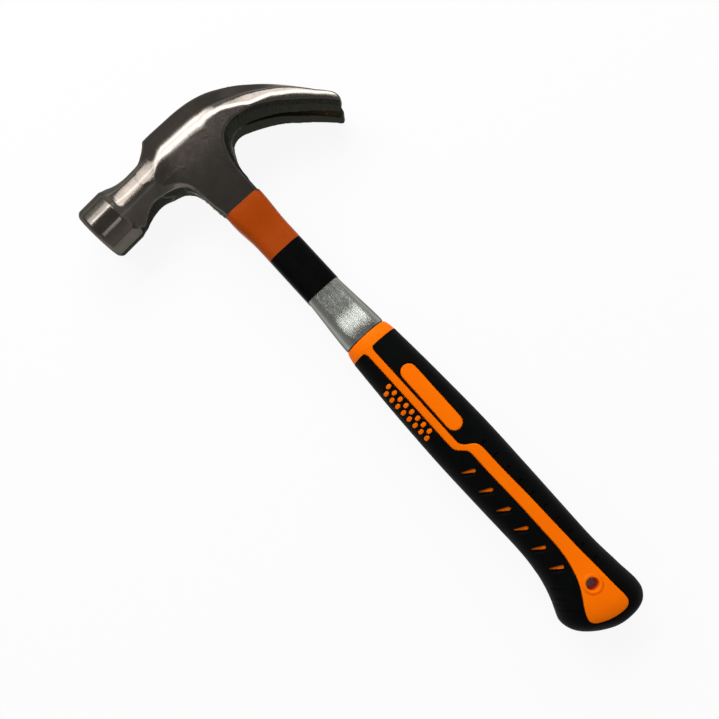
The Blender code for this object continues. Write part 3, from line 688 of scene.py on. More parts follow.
def tubeSteelFinish():
    # Drawn tube, brushed along the handle.
    material, tree, shader, spot = newFinish(
        "tube_steel_look", Metallic=1.0, Specular_Tint=(0.25, 0.25, 0.24, 1))
    swap = put(tree, "ShaderNodeSeparateXYZ", {0: spot})
    girth = maths(tree, "ADD", swap.outputs["Y"], maths(tree, "MULTIPLY", swap.outputs["Z"], 0.7))
    line = put(tree, "ShaderNodeCombineXYZ", {"X": girth, "Y": swap.outputs["X"], "Z": 0.0}).outputs[0]
    streaks = useGroup(tree, brushMarks, Vector=line, Across=2.4, Along=0.05, Sharpness=0.3)
    cloud = useGroup(tree, mottle, Vector=spot, Scale=0.2, Detail=4.0, Contrast=0.5)["Tone"]
    dots = useGroup(tree, specks, Vector=spot, Scale=0.5, Size=0.13, Share=0.3)["Mask"]
    colour = blend(tree, streaks["Marks"], (0.29, 0.30, 0.275), (0.39, 0.40, 0.37))
    colour = blend(tree, maths(tree, "MULTIPLY", cloud, 0.25), colour, (0.25, 0.25, 0.22))
    colour = blend(tree, maths(tree, "MULTIPLY", dots, 0.5), colour, (0.12, 0.11, 0.09))
    plug(shader, Base_Color=colour, Roughness=ramp(tree, streaks["Marks"], 0, 1, 0.19, 0.33),
         Normal=bump(tree, streaks["Height"], 0.55, 0.00025))
    return material


def filmFinish(name, colour, worn, roughness, gloss):
    # Printed film: smooth, with faint ripples over the steel and light scuffs along the shank.
    material, tree, shader, spot = newFinish(name, Specular_IOR_Level=gloss)
    cloud = useGroup(tree, mottle, Vector=spot, Scale=0.25, Detail=3.0, Contrast=0.4)["Tone"]
    swap = put(tree, "ShaderNodeSeparateXYZ", {0: spot})
    line = put(tree, "ShaderNodeCombineXYZ", {"X": swap.outputs["Y"], "Y": swap.outputs["X"],
                                              "Z": swap.outputs["Z"]}).outputs[0]
    scuffs = useGroup(tree, brushMarks, Vector=line, Across=1.6, Along=0.08, Sharpness=0.85)
    mixed = blend(tree, maths(tree, "MULTIPLY", cloud, 0.5), colour, worn)
    plug(shader, Base_Color=mixed, Roughness=ramp(tree, scuffs["Marks"], 0, 1, roughness, roughness + 0.1),
         Normal=bump(tree, cloud, 0.12, 0.0003))
    return material


def orangePlasticFinish():
    # Satin moulded plastic: a fine even grain, slightly uneven tone.
    material, tree, shader, spot = newFinish("orange_plastic_look", Specular_IOR_Level=0.03)
    cloud = useGroup(tree, mottle, Vector=spot, Scale=0.09, Detail=3.0, Contrast=0.4)["Tone"]
    grain = put(tree, "ShaderNodeTexNoise", {"Vector": spot, "Scale": 2.2, "Detail": 2.0}).outputs["Fac"]
    plug(shader, Base_Color=blend(tree, cloud, (1.0, 0.160, 0.0), (1.0, 0.186, 0.0)),
         Roughness=ramp(tree, grain, 0.3, 0.7, 0.42, 0.52), Normal=bump(tree, grain, 0.10, 0.0002))
    return material


def blackRubberFinish():
    # Soft matt rubber: spark-eroded grain, dust in patches, and a tone a little lighter in random patches.
    material, tree, shader, spot = newFinish("black_rubber_look", Specular_IOR_Level=0.04)
    cloud = useGroup(tree, mottle, Vector=spot, Scale=0.12, Detail=5.0, Contrast=0.6)["Tone"]
    grain = put(tree, "ShaderNodeTexNoise", {"Vector": spot, "Scale": 1.5, "Detail": 4.0,
                                             "Roughness": 0.7}).outputs["Fac"]
    dust = useGroup(tree, specks, Vector=spot, Scale=0.6, Size=0.14, Share=0.10)["Mask"]
    colour = blend(tree, cloud, (0.0007, 0.0010, 0.0009), (0.0020, 0.0024, 0.0022))
    colour = blend(tree, maths(tree, "MULTIPLY", dust, 0.35), colour, (0.022, 0.022, 0.020))
    plug(shader, Base_Color=colour, Roughness=ramp(tree, cloud, 0, 1, 0.52, 0.68),
         Normal=bump(tree, grain, 0.35, 0.0003))
    return material


def hardwoodFinish():
    # Raw hardwood: growth rings as bands across the grain, and pores drawn out along the handle.
    material, tree, shader, spot = newFinish("hardwood_look", Roughness=0.62)
    drawn = put(tree, "ShaderNodeMapping", {"Vector": spot, "Scale": (0.02, 0.35, 0.35)}).outputs[0]
    rings = put(tree, "ShaderNodeTexWave", {"Vector": drawn, "Scale": 0.9, "Distortion": 3.0, "Detail": 2.0},
                bands_direction="Z").outputs["Fac"]
    pores = put(tree, "ShaderNodeTexNoise", {"Vector": drawn, "Scale": 9.0, "Detail": 3.0}).outputs["Fac"]
    colour = blend(tree, rings, (0.42, 0.25, 0.11), (0.62, 0.42, 0.22))
    colour = blend(tree, ramp(tree, pores, 0.58, 0.72), colour, (0.25, 0.14, 0.06))
    plug(shader, Base_Color=colour, Normal=bump(tree, pores, 0.3, 0.0002))
    return material


def wedgeSteelFinish():
    # Plain mild steel with file marks across it.
    material, tree, shader, spot = newFinish("wedge_steel_look", Metallic=1.0)
    marks = useGroup(tree, brushMarks, Vector=spot, Across=3.0, Along=0.3, Sharpness=0.5)
    cloud = useGroup(tree, mottle, Vector=spot, Scale=0.4, Detail=3.0, Contrast=0.5)["Tone"]
    plug(shader, Base_Color=blend(tree, cloud, (0.42, 0.41, 0.39), (0.56, 0.55, 0.53)),
         Roughness=ramp(tree, marks["Marks"], 0, 1, 0.32, 0.5),
         Normal=bump(tree, marks["Height"], 0.3, 0.0002))
    return material


def greyPlasticFinish():
    # Moulded plastic with a fine grain.
    material, tree, shader, spot = newFinish("grey_plastic_look")
    cloud = useGroup(tree, mottle, Vector=spot, Scale=0.15, Detail=3.0, Contrast=0.4)["Tone"]
    grain = put(tree, "ShaderNodeTexNoise", {"Vector": spot, "Scale": 2.0, "Detail": 2.0}).outputs["Fac"]
    plug(shader, Base_Color=blend(tree, cloud, (0.22, 0.22, 0.23), (0.28, 0.28, 0.29)),
         Roughness=ramp(tree, grain, 0.3, 0.7, 0.45, 0.58), Normal=bump(tree, grain, 0.15, 0.0002))
    return material


def dressHidden():
    # The pieces inside the tube stay as they are and get their finishes.
    for name, material in (("socket_plug", hardwoodFinish()), ("fox_wedge", wedgeSteelFinish()),
                           ("tube_end_cap", greyPlasticFinish())):
        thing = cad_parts[name]
        if not thing.material_slots:
            thing.data.materials.append(material)
        for place in thing.material_slots:
            place.material = material
        print(name, "dressed")


forgedSteel = forgedSteelFinish()
tubeSteel = tubeSteelFinish()
filmOrange = filmFinish("film_orange", (0.37, 0.050, 0.0), (0.42, 0.064, 0.0015), 0.30, 0.10)
filmBlack = filmFinish("film_black", (0.0016, 0.0016, 0.0015), (0.0035, 0.0035, 0.0034), 0.26, 0.04)
orangePlastic = orangePlasticFinish()
blackRubber = blackRubberFinish()
dressHidden()


def near(value, width):
    # 1 at zero, easing to 0 at width.
    t = np.clip(1 - np.abs(value) / width, 0, 1)
    return t * t * (3 - 2 * t)


marking = {
    "bellEase": (-9.5, -7.5),        # along the axis: where the neck's finish gives way to the bell's,
    "faceEase": (7.6, 8.4),          # and the bell's to the striking face's
    "neckSide": 110,                 # along the lower line, where the neck's side begins
    "bodyBlend": 0.35, "barBlend": 0.4,      # how softly rough steel meets ground steel
    "slotReach": 0.6, "endReach": 0.8,
    "shadeLine": (53.4, 3.4, 0.75),   # a painted shade line along the bell: its angle, width and share
    "dullEase": (-2.0, -5.0),        # across the neck, where its polish ends
    "bodyLine": 0.5, "barLine": 0.4, "underLine": 0.35,              # widths of the painted edge highlights
    "barShare": 0.6, "endShare": 0.35, "underShare": 0.8,            # and how bright these painted highlights are
    # how much fainter the painted edge highlight is on the neck's lower side
    "neckFainter": 0.7,
    "shadedFlats": ((2, 0.2), (10, 0.4), (11, 0.4)),                # flats of the bell given part of the scale finish as painted shade, and how much
    "bodyDepth": 0.06, "barEase": (-16, -10), "barDepth": (0.22, 0.03),      # of the grinding marks
    "girth": 11,                     # turns the angle about the bar into millimetres
}


def headMasks(points):
    # For the steel's finish, at each point: how far it is left as forged, with painted shade laid the same
    # way on some flats and along a line of the bell, the painted highlight along an edge between two faces,
    # the ground crown with its painted shade, the slot's walls, and the grinding's two coordinates with the
    # depth of its marks. A face holds a point when its distance is the largest there.
    plan = headPlan(points[:, 0], points[:, 1])
    z = points[:, 2]
    p = headParts(plan, z)
    along, across, flats, _ = barParts(plan, z)
    flats = np.stack(flats)
    onBell = easing(along, *marking["bellEase"])
    offFace = 1 - easing(along, *marking["faceEase"])
    under = flats[2:5].max(0) - np.delete(flats, (2, 3, 4), axis=0).max(0)
    underBell = flats[3:5].max(0) - np.delete(flats, (3, 4), axis=0).max(0)
    under = under + (underBell - under) * onBell
    shadedFlats = sum(share * (flats.argmax(0) == k) for k, share in marking["shadedFlats"])
    flats = np.sort(flats, axis=0)
    order = np.sort(np.stack([p["bevel"], p["facet"], p["cheek"], p["chamfer"], p["wall"]]), axis=0)
    onBody = np.clip(np.maximum(flats[-1], head["barEnd"] - along) - order[-1] + 0.5, 0, 1)
    onBar = 1 - onBody
    lowerSide = plan["lower"] < plan["crown"]
    neckSide = plan["lowerAlong"] > marking["neckSide"]

    rough = np.stack([np.where(neckSide, -9, p["chamfer"]), np.where(lowerSide, p["wall"], -9),
                      p["slot"], p["bore"]]).max(0)
    smooth = np.stack([np.where(neckSide, p["chamfer"], -9), p["bevel"], p["facet"], p["cheek"]]).max(0)
    slotWall = near(p["slot"], marking["slotReach"])
    ends = near(p["tip"], marking["endReach"])
    forged = np.clip((rough - smooth) / marking["bodyBlend"] + 0.2, 0, 1) * onBody
    forged = np.maximum(forged, slotWall) * (1 - ends)
    shadeLineAngle, shadeLineWidth, shadeLineShare = marking["shadeLine"]
    lowAngle = np.degrees(np.arctan2(-across, np.abs(z)))
    undersideAndShadeLine = np.clip(under / marking["barBlend"] + 0.5, 0, 1)
    # painted shade: a dark line along one edge of the bell, laid into the underside's scale
    undersideAndShadeLine = np.maximum(undersideAndShadeLine, shadeLineShare * near(lowAngle - shadeLineAngle, shadeLineWidth) * onBell)
    forged = np.maximum(forged, onBar * offFace * undersideAndShadeLine)
    # painted shade: some flats of the bell partly darkened and roughened like scale
    forged = np.maximum(forged, onBar * offFace * onBell * shadedFlats)
    dull = np.maximum(onBar * easing(across, *marking["dullEase"]) * (1 - onBell), forged)

    # painted highlights: light lines along edges between faces, under the bar and at the claws' ends
    edge = (near(order[-1] - order[-2], marking["bodyLine"]) * onBody
            + near(flats[-1] - flats[-2], marking["barLine"]) * onBar * offFace * marking["barShare"])
    edge = np.maximum(edge * (1 - slotWall), marking["endShare"] * ends)
    underLine = near(under, marking["underLine"]) * marking["underShare"]
    edge = np.maximum(edge, onBar * (1 - onBell) * underLine)
    edge = edge * (1 - easing(forged, 0.6, 1.0)) * np.where(
        neckSide & lowerSide, 1 - marking["neckFainter"] * onBody, 1)

    # where the crown's bevel takes its painted shade
    crownShadeShare = np.clip((p["bevel"] - p["facet"]) / 0.5 + 0.5, 0, 1) * onBody
    turn = np.arctan2(across, z) * marking["girth"]
    depth = np.interp(along, marking["barEase"], marking["barDepth"])
    grind = np.where(onBody[:, None] > 0.5,
                     np.stack([plan["crown"], plan["crownAlong"], 0 * z + marking["bodyDepth"]], 1),
                     np.stack([along, turn, depth], 1))
    return {"scaleAndShade": forged, "dull": dull, "edgeHighlight": edge, "crownShadeShare": crownShadeShare,
            "slotWall": slotWall, "crownAlong": plan["crownAlong"], "grind": grind}


def addAttribute(mesh, name, values):
    # One number or one vector for every point of a mesh.
    kind = "FLOAT_VECTOR" if np.ndim(values) == 2 else "FLOAT"
    layer = mesh.attributes.new(name, kind, "POINT")
    layer.data.foreach_set("vector" if kind == "FLOAT_VECTOR" else "value",
                           np.asarray(values, np.float32).ravel())


def buildHead():
    # The net on the head's field, with the masks of its finish at every point.
    points, faces = netSurface(headPlan, headField, (-44.0, -73.0, -16.7), (21.5, 67.5, 16.7), head["cell"])
    points = np.clip(points, (-60, -71.7, -15.9), (20.2, 66.5, 15.9))   # the net may stray by a tenth
    mesh = bpy.data.meshes.new("forged_head")
    mesh.from_pydata(toWorld(points + [headX, 0, 0]).tolist(), [], faces.tolist())
    for name, values in headMasks(points).items():
        addAttribute(mesh, name, values)
    return addPiece("forged_head", mesh, forgedSteel, ["head"], 50)


buildHead()

tube = {
    "lower": 41.0, "seat": 184.6, "flareRun": 36.0, "shoulder": 272.9, "upper": 313.9, "wall": 1.6,
    "flareEase": (-0.1, 1.1),        # the flare's width: where it starts and ends, as shares of its run,
    "riseEase": (0.05, 0.46),        # most of its rise, near the collar,
    "slowEase": (0.3, 0.8),          # and the rest of the rise
    "slowRise": 0.45,
    "undercut": 0.25,                # of the seat's edge, behind the collar
    "tang": (9.4, 8.0, 6.0),         # half width, half thickness, corner radius
    "flare": (11.9, 10.4, 7.7),
    "shank": (9.45, 8.2, 4.2),
    "spigot": (8.0, 6.6, 4.2),
}
label = {"bottom": 215.8, "split": 244.0, "top": 275.4, "wall": 0.3, "gap": 0.2,
         "skirt": (-10.3, 10.8, 10.0, 3.4),  # low side, high side, half thickness, corner at the socket
         "ease": (254.0, 273.6), "edgeDrop": 0.1}


def roundedRings(rows, arc=7, flat=5):
    # A rounded rectangle along x. Rows are x, low y, high y, half thickness, corner radius: each
    # corner is a quarter circle about the inner rectangle's corner, each side a straight line.
    x, low, high, half, corner = np.asarray(rows, float).T[:, :, None]
    turn = np.linspace(0, np.pi / 2, arc + 1)
    slide = np.linspace(1, -1, flat + 2)[1:-1]
    parts = []
    for quarter, (sy, sz) in enumerate(((1, 1), (-1, 1), (-1, -1), (1, -1))):
        angle = turn + quarter * np.pi / 2
        parts.append(np.stack([np.full(arc + 1, sy), np.full(arc + 1, sz), np.cos(angle), np.sin(angle)]))
        if quarter % 2 == 0:
            parts.append(np.stack([slide * sy, np.full(flat, sz), np.zeros(flat), np.full(flat, sz)]))
        else:
            parts.append(np.stack([np.full(flat, sy), slide * sz, np.full(flat, sy), np.zeros(flat)]))
    sy, sz, cosine, sine = np.concatenate(parts, 1)
    middle, wide = (low + high) / 2, (high - low) / 2
    y = middle + (wide - corner) * sy + corner * cosine
    z = (half - corner) * sz + corner * sine
    return np.stack([x + 0 * y, y, z], -1)


def tubeRows(sink):
    # Tang, seat, a flare that eases from one end to the other with smooth cubics, and the spigot: x,
    # both sides, half thickness and corner radius, all set in by a depth.
    rows = [(tube["lower"], *tube["tang"]), (tube["lower"] + 20, *tube["tang"]),
            (tube["seat"] + 2 * sink, *tube["tang"])]
    t = np.linspace(0, 1, 34)[:, None]
    share = easing(t, *tube["flareEase"])
    flare, shank = np.array(tube["flare"]), np.array(tube["shank"])
    eased = flare + (shank - flare) * share
    rise = flare[1] - shank[1]
    eased[:, 1] = (shank[1] + tube["slowRise"] * (1 - easing(t[:, 0], *tube["slowEase"]))
                   + (rise - tube["slowRise"]) * (1 - easing(t[:, 0], *tube["riseEase"])))
    eased[0, :2] -= tube["undercut"]
    along = tube["seat"] + 2 * sink + tube["flareRun"] * t
    rows += np.hstack([along, eased]).tolist()
    rows += [(x, *tube["shank"]) for x in np.linspace(225, tube["shoulder"] - sink, 9)]
    rows += [(tube["shoulder"] - sink, *tube["spigot"]), (tube["upper"], *tube["spigot"])]
    rows = np.array(rows)
    wide, half, corner = rows[:, 1] - sink, rows[:, 2] - sink, rows[:, 3] - sink
    return np.stack([rows[:, 0], -wide, wide, half, corner], 1)


def buildTube():
    # The outer rings, and the same rings set in by the wall, joined into one closed loft.
    rings = np.concatenate([roundedRings(tubeRows(0.0)), roundedRings(tubeRows(tube["wall"]))[::-1]])
    return addPiece("handle_tube_drawn", meshOf("handle_tube_drawn", [solidOf(rings, True)]),
                    tubeSteel, ["handle_tube"], 30)


def labelRows(start, end, grow):
    # The film follows the shank and eases out over the end of the socket: a smooth cubic blend of
    # the shank's section into the socket's.
    wide, half, corner = tube["shank"]
    x = np.unique(np.concatenate([np.linspace(start, end, 20), [start + 0.15, end - 0.15]]))
    share = easing(x, *label["ease"])[:, None]
    rows = (1 - share) * [-wide, wide, half, corner] + share * list(label["skirt"])
    return np.hstack([x[:, None], rows + np.array([-grow, grow, grow, grow])])


def buildLabel():
    # Two bands of one printed film, orange next to the head and black below it.
    outer, inner = label["gap"] + label["wall"], label["gap"]
    for name, start, end, material in (
            ("label_band_lower", label["bottom"], label["split"], filmBlack),
            ("label_band_upper", label["split"], label["top"], filmOrange)):
        shell = labelRows(start, end, outer)
        ends = np.array([[start == label["bottom"]], [end == label["top"]]])
        shell[[0, -1], 1:] += label["edgeDrop"] * np.array([1, -1, -1, -1]) * ends
        rings = np.concatenate([roundedRings(shell), roundedRings(labelRows(start, end, inner))[::-1]])
        addPiece(name, meshOf(name, [solidOf(rings, True)]), material,
                 ["label_sleeve"], 30)


buildTube()
buildLabel()

grip = {
    "squareness": 2.35,
    "mostHalf": 15.88,           # half thickness at most, so that it lies on the ground
    "coverWall": 2.0,
    "gap": 0.3,                  # dark line round every inlay
    "lip": 0.24,                 # rounding of the rubber's edge along it
    "inlaySink": 0.15,           # how far the inlays lie under the rubber's skin
    "coverEnd": 177.7,
    "collarEnd": 184.3,
    "pill": ((123.9, -3.3), (156.3, -3.7), 4.1),
    "dotRows": ((157.7, 8.4), (156.0, 11.6)), "dotCount": 8, "dotPitch": 4.15, "dotHalf": (1.1, 0.35),
    "slitFirst": 100.6, "slitPitch": 12.1, "slitCount": 6, "slitSink": 1.0,
    "slitEnds": ((0, 5.5), (2.9, 10.5)), "slitHalf": (1.0, 0.32),
    "scoopEnds": ((-2.5, 4.9), (1.9, 12.0)), "scoop": (1.0, 0.45),   # radius, and height over the skin
    "dimpleFirst": (107.2, -7.5), "dimpleStep": (-8.33, -0.17), "dimpleCount": 10,
    "dimpleEnds": ((-0.6, 1.1), (0.6, -1.1)), "dimple": (1.1, 0.0),
    "rib": (0.7, 0.0),
    "ribs": (((35.6, 16.6), (30.1, 11.4)), ((31.6, 19.2), (25.6, 13.2)), ((28.9, 20.6), (22.6, 14.2)),
             ((26.3, 21.2), (19.6, 14.4))),
    "holeMiddle": (25.3, 0.4), "holeRadius": 3.1, "eyeletRadius": 5.0,
}
# x, right side, left side, half thickness, from the butt to the collar
gripStations = np.array([
    (0.0, -6.4, 0.2, 3.9), (1.3, -11.4, 5.2, 8.7), (3.2, -14.4, 9.6, 11.8), (6.6, -16.6, 15.2, 14.2),
    (11.0, -17.2, 20.2, 15.5), (15.5, -16.9, 22.8, 15.9), (20.2, -16.4, 23.5, 15.8),
    (24.8, -16.1, 21.8, 15.5), (29.6, -15.7, 19.8, 15.0), (36.0, -15.3, 17.8, 14.4),
    (44.0, -15.2, 16.2, 13.9), (57.6, -15.4, 15.2, 13.5), (86.5, -15.9, 15.6, 13.4),
    (115.1, -16.1, 15.8, 13.6), (144.9, -15.2, 15.1, 13.3), (164.9, -14.3, 14.2, 12.7),
    (177.7, -13.6, 13.5, 12.1), (184.3, -13.3, 13.2, 11.8)])
gripRows = smoothLine(gripStations, 1.0)
gripRows[:, 3] = np.minimum(gripRows[:, 3], grip["mostHalf"])
# the long stripe: x, middle, half width; then the flared end's outline
stripeStations = np.array([
    (181.0, 3.8, 1.85), (172.0, 3.8, 1.85), (145.0, 3.95, 1.85), (117.5, 4.1, 1.85), (114.6, 3.8, 1.9),
    (112.4, 2.3, 2.15), (110.0, -1.0, 2.6), (107.9, -2.05, 2.85), (105.0, -2.25, 2.95), (96.0, -2.2, 3.0),
    (88.0, -2.35, 3.0), (75.0, -2.7, 3.1), (57.0, -2.74, 3.25), (48.0, -2.75, 3.4), (40.0, -2.28, 3.97),
    (31.7, -1.29, 5.31), (25.3, 0.25, 7.05), (19.2, 2.18, 9.12)])
flareEnd = [(15.3, 13.0), (12.9, 13.3), (10.8, 11.6), (9.0, 7.8), (7.6, 3.6), (6.9, -0.5), (6.8, -3.6),
            (7.6, -6.0), (9.4, -7.15), (12.2, -7.35), (15.4, -7.1)]


def skinSizes(x):
    # Right side, left side and half thickness of the grip at x.
    return [np.interp(x, gripRows[:, 0], gripRows[:, i]) for i in (1, 2, 3)]


def skinHeight(x, y, sink=0.0):
    # Half thickness over the plan: a superellipse across the grip at each x.
    right, left, half = skinSizes(x)
    power = grip["squareness"]
    t = np.clip(np.abs(y - (left + right) / 2) / ((left - right) / 2 - sink), 0, 0.999)
    return (half - sink) * (1 - t ** power) ** (1 / power)


def ovalRings(rows, sink, count):
    # Superellipse rings: cosine and sine to the power 2/e, scaled by half width and half thickness.
    rows = np.asarray(rows, float)
    x, right, left, half = rows.T[:, :, None]
    angle = np.linspace(0, 2 * np.pi, count, endpoint=False)
    power = 2 / grip["squareness"]
    c = np.sign(np.cos(angle)) * np.abs(np.cos(angle)) ** power
    s = np.sign(np.sin(angle)) * np.abs(np.sin(angle)) ** power
    y = (left + right) / 2 + ((left - right) / 2 - sink) * c
    z = (half - sink) * s
    return np.stack([x + 0 * y, y, z], -1)


def outward(loop):
    # Unit normals of a closed plan outline, pointing out of it.
    before, after = np.roll(loop, 1, axis=0), np.roll(loop, -1, axis=0)
    area = np.sum(loop[:, 0] * after[:, 1] - loop[:, 1] * after[:, 0])
    a, b = loop - before, after - loop
    a /= np.maximum(np.linalg.norm(a, axis=1, keepdims=True), 1e-9)
    b /= np.maximum(np.linalg.norm(b, axis=1, keepdims=True), 1e-9)
    way = a + b
    normal = np.stack([way[:, 1], -way[:, 0]], 1) * np.sign(area)
    normal /= np.maximum(np.linalg.norm(normal, axis=1, keepdims=True), 1e-9)
    return normal


def pillLoop(start, end, startRadius, endRadius, steps=10):
    # Two half circles about the ends, joined by straight sides.
    heading = math.atan2(end[1] - start[1], end[0] - start[0])
    loop = []
    for middle, radius, turn in ((end, endRadius, -0.5), (start, startRadius, 0.5)):
        angle = heading + np.pi * (turn + np.linspace(0, 1, steps + 1))
        loop.append(np.stack([middle[0] + radius * np.cos(angle), middle[1] + radius * np.sin(angle)], 1))
    return evenLoop(np.vstack(loop), min(0.5, 0.16 * startRadius + 0.04))


def evenLoop(loop, spacing, passes=0):
    # A closed outline at even steps along its length, softened by averaging with its neighbours.
    ring = np.vstack([loop, loop[:1]])
    along = np.concatenate([[0], np.cumsum(np.linalg.norm(np.diff(ring, axis=0), axis=1))])
    count = int(np.ceil(along[-1] / spacing))
    spots = np.linspace(0, along[-1], count, endpoint=False)
    even = np.stack([np.interp(spots, along, ring[:, i]) for i in (0, 1)], 1)
    for _ in range(passes):
        even = even / 2 + (np.roll(even, 1, axis=0) + np.roll(even, -1, axis=0)) / 4
    return even


def stripeLoop():
    # Both edges of the stripe are smooth lines through its stations; at the collar each opens in a fillet.
    upper = stripeStations[:, 1] + stripeStations[:, 2]
    lower = stripeStations[:, 1] - stripeStations[:, 2]
    x = stripeStations[:, 0]
    angle = np.linspace(0, np.pi / 2, 7)
    radius = 2.0
    rear = grip["coverEnd"]
    leftFillet = np.stack([rear - radius + radius * np.sin(angle[::-1]),
                           upper[0] + radius * (1 - np.cos(angle[::-1]))], 1)
    rightFillet = np.stack([leftFillet[:, 0], lower[0] - (leftFillet[:, 1] - upper[0])], 1)[::-1]
    edge = np.vstack([
        np.stack([x, upper], 1)[1:], np.array(flareEnd), np.stack([x, lower], 1)[1:][::-1]])
    line = smoothLine(edge, 0.6)
    loop = np.vstack([[(rear + 2.0, upper[0] + radius)], leftFillet, line, rightFillet,
                      [(rear + 2.0, lower[0] - radius)]])
    return evenLoop(loop, 0.5, 8)


def inlayLoops():
    # Every coloured patch of one side in plan, with the rounding of its rim and its depth.
    start, end, radius = grip["pill"]
    sink = grip["inlaySink"]
    loops = [(stripeLoop(), 1.0, sink), (pillLoop(start, end, radius, radius, 22), 1.0, sink)]
    half, reach = grip["dotHalf"]
    for firstX, rowY in grip["dotRows"]:
        for x in firstX - grip["dotPitch"] * np.arange(grip["dotCount"]):
            loops.append((pillLoop((x, rowY - reach), (x, rowY + reach), half, half, 9), 0.75, sink))
    for i in range(grip["slitCount"]):
        start, end = np.array(grip["slitEnds"]) + [grip["slitFirst"] - i * grip["slitPitch"], 0]
        loops.append((pillLoop(start, end, *grip["slitHalf"], 9), 0.7, grip["slitSink"]))
    return loops


def raisedPatch(loop, rim, sink, side):
    # An inlay: straight wall, quarter-round rim and a top that follows the skin. The top is a
    # triangulation of the plan outline with a grid of points inside it.
    normal = outward(loop)
    under = np.full(len(loop), 2.2)
    rings = [np.column_stack([loop, under])]
    for inset, drop in ((0.0, 0.30), (0.04, 0.16), (0.13, 0.055), (0.28, 0.0)):
        moved = loop - normal * inset * rim
        rings.append(np.column_stack([moved, skinHeight(moved[:, 0], moved[:, 1]) - sink - drop * rim]))
    rim2 = rings[-1][:, :2]
    low, high = rim2.min(0), rim2.max(0)
    gx, gy = np.meshgrid(np.arange(low[0], high[0], 0.9), np.arange(low[1], high[1], 0.9), indexing="ij")
    gx, gy = gx.ravel(), gy.ravel()
    gap, _ = nearLine(gx, gy, np.vstack([rim2, rim2[:1]]))
    keep = insideLoop(gx, gy, rim2) & (gap > 0.35)
    flat = [Vector(p) for p in np.vstack([rim2, np.column_stack([gx[keep], gy[keep]])]).tolist()]
    spots, _, fill, *_ = delaunay_2d_cdt(flat, [], [list(range(len(rim2)))], 1, 1e-6)
    spots = np.array([list(p) for p in spots])
    cap = np.column_stack([spots, skinHeight(spots[:, 0], spots[:, 1]) - sink])
    count = len(loop)
    points = np.vstack(rings + [cap])
    faces = ringFaces(len(rings), count).tolist() + [list(range(count))]
    base = len(rings) * count
    faces += [[k + base for k in row] for row in fill]
    return points * [1, 1, side], faces


def windowCutter(loop, rim, side):
    # Cuts a window through the rubber: straight below, opening in a small round at the skin.
    normal = outward(loop)
    gap, lip = grip["gap"] * rim, grip["lip"] * rim ** 3
    rings = []
    for grow, height in ((gap, -9.0), (gap, -0.5), (gap + 0.1 * lip, -0.26), (gap + 0.35 * lip, -0.1),
                         (gap + lip, 0.0), (gap + 1.4 * lip, 0.08), (gap + 1.4 * lip, 9.0)):
        moved = loop + normal * grow
        z = skinHeight(moved[:, 0], moved[:, 1]) + height
        if abs(height) > 5:
            z = np.full(len(loop), 2.2 if height < 0 else 21.0)
        rings.append(np.column_stack([moved, z]))
    points, faces = solidOf(np.array(rings))
    return points * [1, 1, side], faces


def grooveCutter(start, end, radius, lift, side, steps=14, count=12):
    # A tube along the skin between two plan points: its radius swells from nothing at both ends as the
    # square root of a sine, and its middle runs at a height over the skin.
    t = np.linspace(0.01, 0.99, steps)[:, None]
    start, end = np.array(start), np.array(end)
    middle = start + (end - start) * t
    way = (end - start) / np.linalg.norm(end - start)
    size = radius * np.sqrt(np.sin(np.pi * t))
    angle = np.linspace(0, 2 * np.pi, count, endpoint=False)
    height = skinHeight(middle[:, 0], middle[:, 1])[:, None] + lift
    x = middle[:, :1] - way[1] * size * np.cos(angle)
    y = middle[:, 1:] + way[0] * size * np.cos(angle)
    return solidOf(np.stack([x, y, (height + size * np.sin(angle)) * side], -1))


def grooveCutters(side):
    # Dimples along the right of the stripe, a scoop beside each slit, and ribs round the butt.
    tools = []
    for i in range(grip["dimpleCount"]):
        middle = np.array(grip["dimpleFirst"]) + np.array(grip["dimpleStep"]) * i
        start, end = np.array(grip["dimpleEnds"]) + middle
        tools.append(grooveCutter(start, end, *grip["dimple"], side))
    for i in range(grip["slitCount"]):
        start, end = np.array(grip["scoopEnds"]) + [grip["slitFirst"] - i * grip["slitPitch"], 0]
        tools.append(grooveCutter(start, end, *grip["scoop"], side, 20))
    for start, end in grip["ribs"]:
        tools.append(grooveCutter(start, end, *grip["rib"], side, 20))
    return tools


def buildCover():
    # Superellipse rings closed over the butt, hollowed out, then cut by the windows and the grooves.
    rows = gripRows[gripRows[:, 0] <= grip["coverEnd"] - 0.2]
    nose = np.array([(0.0, -3.1, -3.1, 0.0), (0.0, -4.4, -1.8, 1.6)])
    last = rows[-1].copy()
    last[0] = grip["coverEnd"] - 0.12
    outer = ovalRings(np.vstack([nose, rows, [last]]), 0.0, 128)
    inside = rows[rows[:, 0] > 2.0][::2]
    inner = ovalRings(np.vstack([inside, [last]]), grip["coverWall"], 96)
    cover = meshOf("cover", [solidOf(outer)])
    # the cavity is cut with a block that runs out of the front
    block = np.concatenate([inner, inner[-1:] + [5, 0, 0]])
    cover = cutAway(cover, meshOf("cavity", [solidOf(block)]))
    loops = inlayLoops()
    for chosen in (loops[:1], loops[1:2], loops[2:2 + grip["dotCount"]], loops[2 + grip["dotCount"]:]):
        tools = [windowCutter(loop, rim, side) for loop, rim, _ in chosen for side in (1, -1)]
        cover = cutAway(cover, meshOf("windows", tools))
    cover = cutAway(cover, meshOf("grooves", [tool for side in (1, -1) for tool in grooveCutters(side)]))
    return addPiece("rubber_cover", cover, blackRubber, ["grip_cover"], 38)


